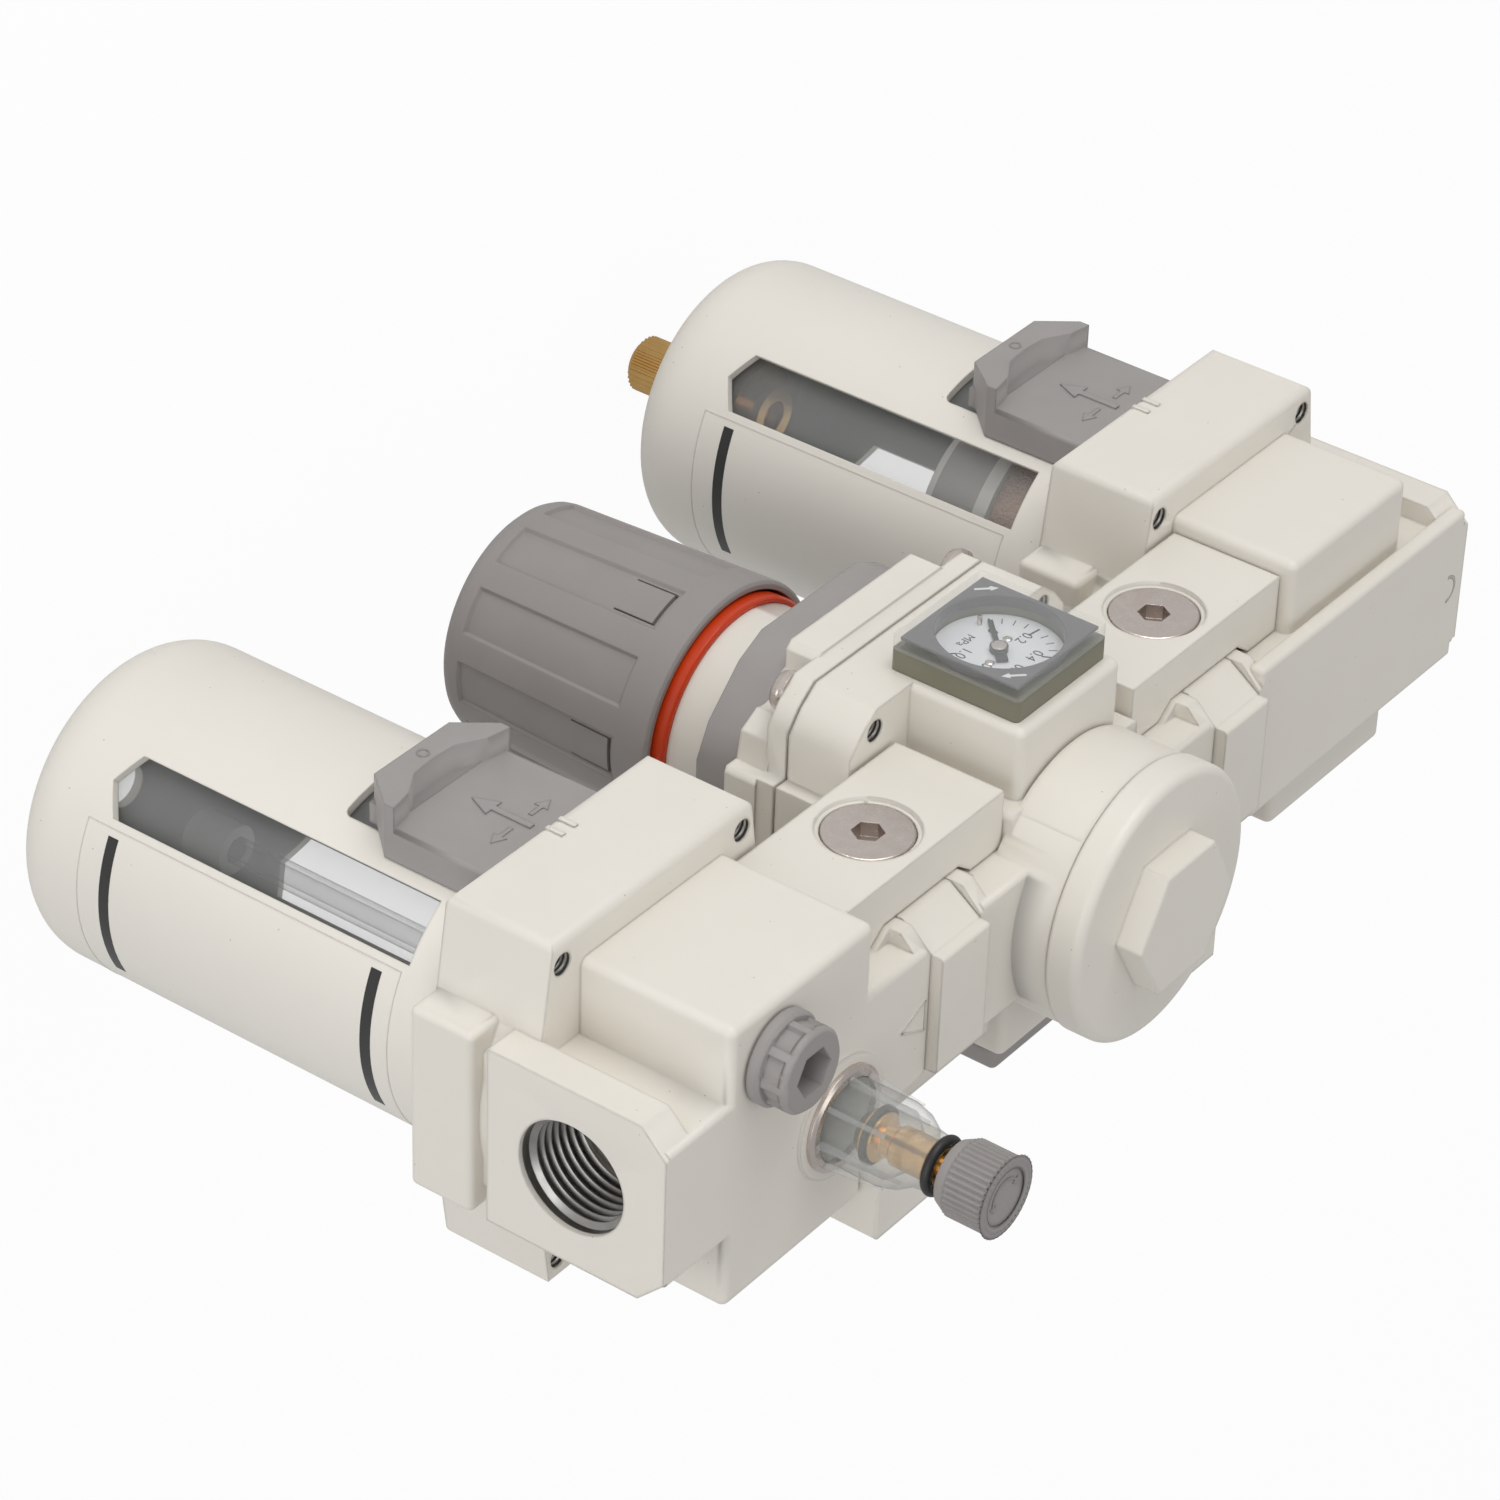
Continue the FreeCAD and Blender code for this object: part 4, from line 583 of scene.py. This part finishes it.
for panel in range(PANELS):
    bmesh.ops.inset_region(bm, faces=knob_faces(panel, panel_low, panel_high, -1, PANEL_EDGE),
                           thickness=0.45 * MM, depth=-0.62 * MM, use_even_offset=True)
for panel in range(1, PANELS, 2):
    cut = knob_faces(panel, tongue_low, tongue_high, SLOT_INNER, SLOT_OUTER)
    cut += knob_faces(panel, tongue_high, tongue_high + slot_width, -1, SLOT_OUTER)
    bmesh.ops.inset_region(bm, faces=cut, thickness=0.03 * MM, depth=-1.0 * MM,
                           use_even_offset=True)
bmesh.ops.recalc_face_normals(bm, faces=bm.faces)
show(bm, "pressure_knob_shell", "knob_plastic", "pressure_knob", 28.0,
     "regulator_knob")

# %% [markdown]
# ## Fluted grips
# The needle knob and the drain knob are turned by finger tips, so their rims are cut
# into small flutes. Pairs of vertices on a circle are drawn in, and the outline is
# extruded along the knob. The ends are inset for a chamfer and a dished face.

# %% The fluted grip helper


def fluted(bm, centre, low, high, radius, depth, count):
    """A fluted post between two levels; returns its upper face."""
    made = bmesh.ops.create_circle(bm, cap_ends=True, segments=count * 4, radius=radius * MM)
    for index, vert in enumerate(made["verts"]):
        if (index // 2) % 2:
            vert.co *= (radius - depth) / radius
        vert.co += centre + Vector((0, 0, low * MM))
    face = made["verts"][0].link_faces[0]
    top = bmesh.ops.extrude_face_region(bm, geom=[face])["geom"]
    risen = [item for item in top if isinstance(item, bmesh.types.BMVert)]
    bmesh.ops.translate(bm, verts=risen, vec=(0, 0, (high - low) * MM))
    return [item for item in top if isinstance(item, bmesh.types.BMFace)][0]


def step_face(bm, face, inward, upward):
    """Insets a face and moves the new one along Z; returns it."""
    bmesh.ops.inset_region(bm, faces=[face], thickness=inward * MM, use_even_offset=True)
    bmesh.ops.translate(bm, verts=face.verts, vec=(0, 0, upward * MM))
    return face


# %% Needle knob
needle_low, needle_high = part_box("needle_knob")
dome_at = Vector(((needle_low.x + needle_high.x) / 2, (needle_low.y + needle_high.y) / 2, 0))
grip_radius = (needle_high.x - needle_low.x) / 2 / MM
grip_top = needle_high.z / MM
bm = bmesh.new()
end = fluted(bm, dome_at, 43.6, grip_top - 0.6, grip_radius, 0.42, 40)
end = step_face(bm, end, 0.55, 0.6)
end = step_face(bm, end, 0.9, -0.15)
end = step_face(bm, end, 1.0, -0.3)
spin(bm, [(1.95, 41.4), (5.7, 41.4), (6.5, 43.0), (6.5, 44.4), (1.95, 44.4)], dome_at, (0, 0, 1))
tidy(bm, 0.0005)
show(bm, "needle_grip", "grey_plastic", "needle_screw", 35.0, "needle_knob")
bm = bmesh.new()
spin(bm, [(0.0, 22.0), (0.6, 23.0), (1.93, 25.0), (1.93, 42.0), (0.0, 42.0)], dome_at, (0, 0, 1),
     steps=32, closed=False)
tidy(bm)
show(bm, "needle_rod", "brass", "needle_screw")

# %% [markdown]
# A curved arrow on the needle knob's face shows that it turns both ways: a thin raised
# arc with a flat triangle at each end.

# %% Arrow heads and arcs


def flat_shape(bm, corners, thickness, way):
    """A thin plate from its corners, thickened along a direction."""
    face = bm.faces.new([bm.verts.new(corner) for corner in corners])
    made = bmesh.ops.extrude_face_region(bm, geom=[face])["geom"]
    moved = [item for item in made if isinstance(item, bmesh.types.BMVert)]
    bmesh.ops.translate(bm, verts=moved, vec=Vector(way) * thickness * MM)


dished_z, ARROW_RISE = grip_top - 0.46, 0.2
ARC_START, ARC_SWEEP = 215.0, 150.0
bm = bmesh.new()
spin(bm, [(3.1, dished_z), (3.5, dished_z), (3.5, dished_z + ARROW_RISE),
          (3.1, dished_z + ARROW_RISE)], dome_at, (0, 0, 1), ARC_SWEEP, 24, ARC_START)
bmesh.ops.holes_fill(bm, edges=bm.edges, sides=4)
for angle, side in ((ARC_START, -1), (ARC_START + ARC_SWEEP, 1)):
    root = math.radians(angle)
    tip = math.radians(angle + side * 22)
    corners = [dome_at + Vector((r * math.cos(a), r * math.sin(a), dished_z)) * MM
               for r, a in ((2.5, root), (4.1, root), (3.3, tip))]
    flat_shape(bm, corners, ARROW_RISE, (0, 0, 1))
tidy(bm)
show(bm, "needle_turn_arrow", "knob_plastic", "needle_screw")

# %% [markdown]
# The drain knob is brass and hangs under the filter bowl. Its flutes come from the same
# helper, and a spun core closes them with a chamfer at each end.

# %% Drain knob
drain_low, drain_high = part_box("drain_knob")
drain_at = Vector(((drain_low.x + drain_high.x) / 2, (drain_low.y + drain_high.y) / 2, 0))
drain_radius = (drain_high.x - drain_low.x) / 2 / MM
drain_end = drain_low.z / MM
drain_top = drain_end + 12.6
bm = bmesh.new()
fluted(bm, drain_at, drain_end + 0.7, drain_top - 0.6, drain_radius, 0.32, 30)
spin(bm, [(1.6, drain_end + 4.0), (1.6, drain_end), (drain_radius - 1.0, drain_end),
          (drain_radius - 0.35, drain_end + 0.7), (drain_radius - 0.35, drain_top - 0.6),
          (drain_radius - 1.0, drain_top), (3.14, drain_top), (3.14, drain_high.z / MM),
          (1.0, drain_high.z / MM), (1.0, drain_end + 4.0)], drain_at, (0, 0, 1))
tidy(bm, 0.0005)
show(bm, "drain_grip", "brass", "drain_screw", 35.0, "drain_knob")

# %% [markdown]
# ## The oil sight dome
# The dome is clear plastic with stiffening ribs down its sides, which give the fingers a
# grip when it is unscrewed. Each rib is a cube squeezed into a fin, repeated around.

# %% Dome ribs
RIBS = 8
RIB_LOW, RIB_HIGH = 20.6, 31.4
RIB_ROOT, RIB_EDGE_LOW, RIB_EDGE_HIGH = 7.4, 8.75, 7.7
bm = bmesh.new()
for k in range(RIBS):
    made = bmesh.ops.create_cube(bm, size=1.0)
    for vert in made["verts"]:
        high = vert.co.z > 0
        edge = RIB_EDGE_HIGH if high else RIB_EDGE_LOW
        radius = edge if vert.co.x > 0 else RIB_ROOT
        vert.co = Vector((radius, vert.co.y, RIB_HIGH if high else RIB_LOW)) * MM
    turn = Matrix.Rotation(2 * math.pi * k / RIBS, 4, "Z")
    bmesh.ops.transform(bm, matrix=Matrix.Translation(dome_at) @ turn, verts=made["verts"])
bmesh.ops.bevel(bm, geom=bm.edges, offset=0.15 * MM, segments=2, profile=0.5,
                affect="EDGES", material=-1)
tidy(bm, 0.0005)
show(bm, "dome_ribs", "dome_clear", "housing")

# %% [markdown]
# ## The gauge
# The dial is read through a clear cover, so its marks are real: thin plates and raised
# numerals. They are laid out by angle, starting at the lower left and turning clockwise.

# %% Dial scale
dial_low, dial_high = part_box("gauge_dial")
dial_face = dial_low.y
dial_at = Vector(((dial_low.x + dial_high.x) / 2, dial_face, (dial_low.z + dial_high.z) / 2))
DIAL_START, DIAL_SWEEP, TOP_PRESSURE = 45.0, 270.0, 1.0


def on_dial(share, radius):
    """A point on the dial: share is 0 at the lowest pressure and 1 at the highest."""
    angle = math.radians(DIAL_START + DIAL_SWEEP * share)
    return dial_at + Vector((-math.sin(angle), 0, -math.cos(angle))) * radius * MM


bm = bmesh.new()
MARKS = 20
for mark in range(MARKS + 1):
    share = mark / MARKS
    major = mark % 4 == 0
    inner, half = (7.2, 0.17) if major else (8.4, 0.09)
    low, high = on_dial(share, inner), on_dial(share, 9.9)
    across = (high - low).cross(Vector((0, 1, 0))).normalized() * half * MM
    flat_shape(bm, [low - across, low + across, high + across, high - across], 0.05, (0, -1, 0))
tidy(bm)
show(bm, "dial_marks", "ink", "housing")

# %% [markdown]
# Numerals start as text objects. They are turned into a mesh first, and then stood up
# to face the front, so that the finished object sits at the origin, unturned.

# %% Dial numerals


def lettering(bm, words, place, size_mm, thickness_mm=0.03):
    curve = bpy.data.curves.new("words", "FONT")
    curve.body = words
    curve.size = size_mm * MM
    curve.align_x = "CENTER"
    curve.align_y = "CENTER"
    curve.extrude = thickness_mm * MM
    holder = bpy.data.objects.new("words", curve)
    mesh = bpy.data.meshes.new_from_object(holder)
    upright = Matrix(((1, 0, 0), (0, 0, -1), (0, 1, 0))).to_4x4()
    mesh.transform(Matrix.Translation(place) @ upright)
    bm.from_mesh(mesh)
    bpy.data.meshes.remove(mesh)
    bpy.data.objects.remove(holder)
    bpy.data.curves.remove(curve)


bm = bmesh.new()
for step in range(6):
    share = step / 5
    words = "0" if step == 0 else f"{TOP_PRESSURE * share:.1f}"
    lettering(bm, words, on_dial(share, 6.0), 2.7)
lettering(bm, "MPa", dial_at + Vector((0.9, 0, -6.2)) * MM, 2.3)
show(bm, "dial_numerals", "ink", "housing", 60.0)

# %% [markdown]
# Two small screws hold the dial, a pin stops the pointer below the first mark, and a
# button covers the pointer's hub. They are short profiles spun around the viewing axis.

# %% Dial screws, stop pin and pointer hub
bm = bmesh.new()
for x, z in ((-3.9, -0.9), (3.9, 0.9)):
    spin(bm, [(0.0, 0.35), (0.55, 0.35), (0.85, 0.15), (0.85, 0.0), (0.0, 0.0)],
         dial_at + Vector((x, 0, z)) * MM, (0, -1, 0), steps=20, closed=False)
stop = on_dial(-0.045, 8.6)
spin(bm, [(0.0, 1.7), (0.38, 1.7), (0.45, 1.55), (0.45, 0.0), (0.0, 0.0)], stop, (0, -1, 0),
     steps=16, closed=False)
tidy(bm, 0.0005)
show(bm, "dial_screws", "nickel_steel", "housing")
pointer_low, pointer_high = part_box("gauge_pointer")
bm = bmesh.new()
hub_at = Vector((dial_at.x, pointer_low.y + 0.02 * MM, dial_at.z))
spin(bm, [(0.0, 0.25), (0.35, 0.25), (1.3, 0.18), (1.45, 0.0), (1.45, -0.25), (0.0, -0.25)],
     hub_at, (0, -1, 0), steps=32, closed=False)
tidy(bm, 0.0005)
show(bm, "pointer_hub", "nickel_steel", "pointer")

# %% [markdown]
# The clear cover unlocks by turning, so two corners of the dark mask carry a small
# printed arrow. They are flat triangles and bars just above the mask.

# %% Mask arrows


def arrow(bm, tail, tip, width_mm, head_mm, facing, thickness_mm, shaft=0.36):
    """A flat arrow from tail to tip, lying on a face that looks along facing."""
    along = (tip - tail).normalized()
    across = along.cross(Vector(facing)).normalized() * (width_mm / 2 * MM)
    neck = tip - along * head_mm * MM
    corners = [tail - across * shaft, neck - across * shaft, neck - across, tip, neck + across,
               neck + across * shaft, tail + across * shaft]
    flat_shape(bm, corners, thickness_mm, facing)


mask_low, mask_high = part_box("gauge_mask")
bm = bmesh.new()
for sx, sz in ((-1, -1), (1, 1)):
    corner = Vector((dial_at.x + sx * 9.3 * MM, mask_low.y, dial_at.z + sz * 9.3 * MM))
    swing = Vector((sx * 1.5, 0, -sz * 1.5)) * MM
    arrow(bm, corner - swing, corner + swing, 1.5, 1.5, (0, -1, 0), 0.03)
show(bm, "mask_arrows", "dial_paint", "housing")

# %% [markdown]
# ## Marks on the lock buttons
# Each grey slide is pressed down and then the bowl is turned, which three moulded arrows
# and a thumb dot show. They stand a little proud of the button.

# %% Lock button arrows
PLATE_Y = -31.75
for unit in ("filter", "lubricator"):
    low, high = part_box(unit + "_lock_button")
    middle = (low.x + high.x) / 2
    plate_top = Vector((middle, PLATE_Y * MM, high.z))
    bm = bmesh.new()
    arrow(bm, plate_top + Vector((0, 0, -3.0)) * MM, plate_top + Vector((0, 0, -15.6)) * MM,
          4.2, 4.6, (0, -1, 0), 0.35, 0.3)
    for side in (-1, 1):
        arrow(bm, plate_top + Vector((side * 2.4, 0, -5.4)) * MM,
              plate_top + Vector((side * 7.8, 0, -5.4)) * MM, 2.8, 2.6, (0, -1, 0), 0.2, 0.3)
    spin(bm, [(0.85, 0.0), (1.15, 0.0), (1.15, 0.14), (0.85, 0.14)],
         Vector((middle, low.y + 0.02 * MM, low.z + 2.4 * MM)), (0, -1, 0), steps=32)
    tidy(bm, 0.0005)
    show(bm, unit + "_button_marks", "grey_plastic", unit + "_lock")

# %% [markdown]
# ## Level bars on the bowl guards
# Black bars beside the sight window show how high water or oil may stand. They are
# printed, so each is a very thin band that hugs the guard.

# %% Bars and label edges


BAND_STEP = 2.5


def band(bm, centre, radius, low, high, start, sweep, thickness):
    """A thin plate wrapped round an upright cylinder, from start by sweep degrees."""
    outer = radius + thickness
    spin(bm, [(radius, low), (outer, low), (outer, high), (radius, high)], centre, (0, 0, 1),
         sweep, max(2, int(sweep / BAND_STEP)), start)


LOW_BAR, HIGH_BAR = (-105.0, -102.8), (-48.2, -46.0)
BARS = {"filter": (LOW_BAR,), "lubricator": (LOW_BAR, HIGH_BAR)}
LABEL_BOTTOM, LABEL_UPPER_LINE, LABEL_TOP = -110.0, -42.6, -42.4
LABEL_START, LABEL_SWEEP, LABEL_RISE = -30.0, 100.0, 0.07
for unit, levels in BARS.items():
    low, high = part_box(unit + "_bowl_guard")
    centre = Vector(((low.x + high.x) / 2, 0, 0))
    radius = (high.x - low.x) / 2 / MM
    bm = bmesh.new()
    for bottom, top in levels:
        band(bm, centre, radius - 0.01, bottom, top, -27.0, 56.0, 0.05)
    bmesh.ops.holes_fill(bm, edges=bm.edges, sides=4)
    tidy(bm)
    show(bm, unit + "_level_bars", "ink", unit + "_bowl_unit")
    bm = bmesh.new()
    for bottom in (LABEL_BOTTOM, LABEL_UPPER_LINE):
        band(bm, centre, radius - 0.01, bottom, bottom + 0.22, LABEL_START, LABEL_SWEEP, LABEL_RISE)
    for angle in (LABEL_START, LABEL_START + LABEL_SWEEP):
        band(bm, centre, radius - 0.01, LABEL_BOTTOM, LABEL_TOP, angle, 0.45, LABEL_RISE)
    bmesh.ops.holes_fill(bm, edges=bm.edges, sides=4)
    tidy(bm)
    show(bm, unit + "_label_edge", "cream_guard", unit + "_bowl_unit")

# %% [markdown]
# ## Marks on the castings
# A small raised triangle on the lubricator shows which way the air goes, and a
# half-round bead on the filter marks its inlet end.

# %% Flow triangle and bead
TOP_FACE = 18.6
TRIANGLE_AT = Vector((172.2, -0.2, TOP_FACE - 0.02)) * MM
BEAD_AT = Vector((5.2, -0.5, TOP_FACE - 0.01)) * MM
bm = bmesh.new()
tips = [TRIANGLE_AT + Vector((x, y, 0)) * MM for x, y in ((-3.4, -3.0), (3.2, 0), (-3.4, 3.0))]
for first, second in zip(tips, tips[1:] + tips[:1]):
    along = (second - first).normalized()
    across = Vector((-along.y, along.x, 0)) * 0.2 * MM
    line = [first - across, second - across, second + across, first + across]
    flat_shape(bm, line, 0.2, (0, 0, 1))
tidy(bm, 0.0005)
show(bm, "flow_triangle", "cream_paint", "housing")
bm = bmesh.new()
spin(bm, [(2.2, 0.0), (2.6, 0.12), (3.0, 0.0)], BEAD_AT, (0, 0, 1), 180.0, 24, 90.0)
tidy(bm, 0.0005)
show(bm, "inlet_bead", "cream_paint", "housing")

# %% [markdown]
# The regulator's barrel is cut by the gauge boss, which leaves long thin faces that shade
# in streaks. A coat a few hundredths of a millimetre thick, spun in even steps, covers
# the part of the barrel above the boss.

# %% Barrel coat
BARREL_RADIUS, COAT_LOW, COAT_HIGH = 25.0, 12.0, 25.5
bm = bmesh.new()
band(bm, knob_centre, BARREL_RADIUS, COAT_LOW, COAT_HIGH, -130.0, 80.0, 0.03)
bmesh.ops.holes_fill(bm, edges=bm.edges, sides=4)
tidy(bm)
show(bm, "barrel_coat", "cream_paint", "housing")

# %% [markdown]
# ## Camera, light and floor
# A long lens looks down on the row's gauge face from the lubricator's end, with the
# gauge face turned up in the picture. The light is a big soft lamp over that face, a
# weaker one from the side, and a pale world, at a level where colours show as written.

# %% Camera
camera = bpy.data.objects.new("camera", bpy.data.cameras.new("camera"))
bpy.context.scene.collection.objects.link(camera)
right = Vector((-0.60297, -0.02938, 0.79722))
up = Vector((-0.44109, -0.82040, -0.36384))
back = Vector((0.66473, -0.57103, 0.48172))
turn = Matrix((right, up, back)).transposed().to_4x4()
camera.matrix_world = Matrix.Translation((0.78063, -0.56206, 0.42493)) @ turn
camera.data.lens = 135.74
camera.data.sensor_width = 36.0
camera.data.clip_start = 0.05
camera.data.clip_end = 20.0
bpy.context.scene.camera = camera

# %% Lamps


def softbox(name, place, target, size, power, tint=(1, 1, 1)):
    lamp = bpy.data.lights.new(name, "AREA")
    lamp.shape = "SQUARE"
    lamp.size = size
    lamp.energy = power
    lamp.color = tint
    holder = bpy.data.objects.new(name, lamp)
    aim = (Vector(place) - Vector(target)).to_track_quat("Z", "Y").to_matrix().to_4x4()
    holder.matrix_world = Matrix.Translation(place) @ aim
    bpy.context.scene.collection.objects.link(holder)


row_middle = (0.12, 0.0, -0.05)
softbox("key_lamp", (0.15, -1.25, 0.25), row_middle, 0.8, 6.6, (1.0, 0.99, 0.97))
softbox("side_lamp", (1.15, -0.1, 0.1), row_middle, 0.8, 3.4)
softbox("top_lamp", (0.2, -0.2, 1.2), row_middle, 0.6, 1.5, (1.0, 0.99, 0.98))

# %% [markdown]
# The backdrop is white to the camera and through clear plastic, but the part of the
# world that lights the object is weaker, so the pale paint keeps its tone.

# %% World
world = bpy.data.worlds.new("studio")
bpy.context.scene.world = world
WHITE = colour(1, 1, 1)
studio = Nodes(world)
lit = studio.node("ShaderNodeBackground", None, {"Color": WHITE, "Strength": 0.47})
seen = studio.node("ShaderNodeBackground", None, {"Color": WHITE, "Strength": 1.0})
ray = studio.node("ShaderNodeLightPath")
direct = studio.node("ShaderNodeMath", {"operation": "MAXIMUM"}, {
    0: ray["Is Camera Ray"], 1: ray["Is Transmission Ray"]})["Value"]
backdrop = studio.node("ShaderNodeMixShader", None, {
    0: direct, 1: lit["Background"], 2: seen["Background"]})["Shader"]
studio.node("ShaderNodeOutputWorld", None, {"Surface": backdrop})

# %% [markdown]
# The row stands just above a pale sheet. The sheet glows a little to the camera only, so
# it runs into the backdrop while the soft shadow on it stays.

# %% Floor


def floor_finish():
    finish = Finish("pale_floor")
    matt = finish.node("ShaderNodeBsdfDiffuse", None, {"Color": colour(0.9, 0.9, 0.9)})["BSDF"]
    glow = finish.node("ShaderNodeEmission", None, {"Color": WHITE, "Strength": 1.0})["Emission"]
    to_camera = finish.node("ShaderNodeLightPath")["Is Camera Ray"]
    shader = finish.node("ShaderNodeMixShader", None, {
        0: to_camera * 0.95, 1: matt, 2: glow})["Shader"]
    finish.node("ShaderNodeOutputMaterial", None, {"Surface": shader})
    return finish.material


bm = bmesh.new()
bmesh.ops.create_grid(bm, x_segments=1, y_segments=1, size=3.0)
bmesh.ops.translate(bm, verts=bm.verts, vec=(0.12, 0, cad_box[0][2] - 0.003))
floor_mesh = bpy.data.meshes.new("floor")
bm.to_mesh(floor_mesh)
bm.free()
floor_mesh.materials.append(floor_finish())
floor = bpy.data.objects.new("floor", floor_mesh)
bpy.context.scene.collection.objects.link(floor)

bpy.context.scene.view_settings.view_transform = "Standard"
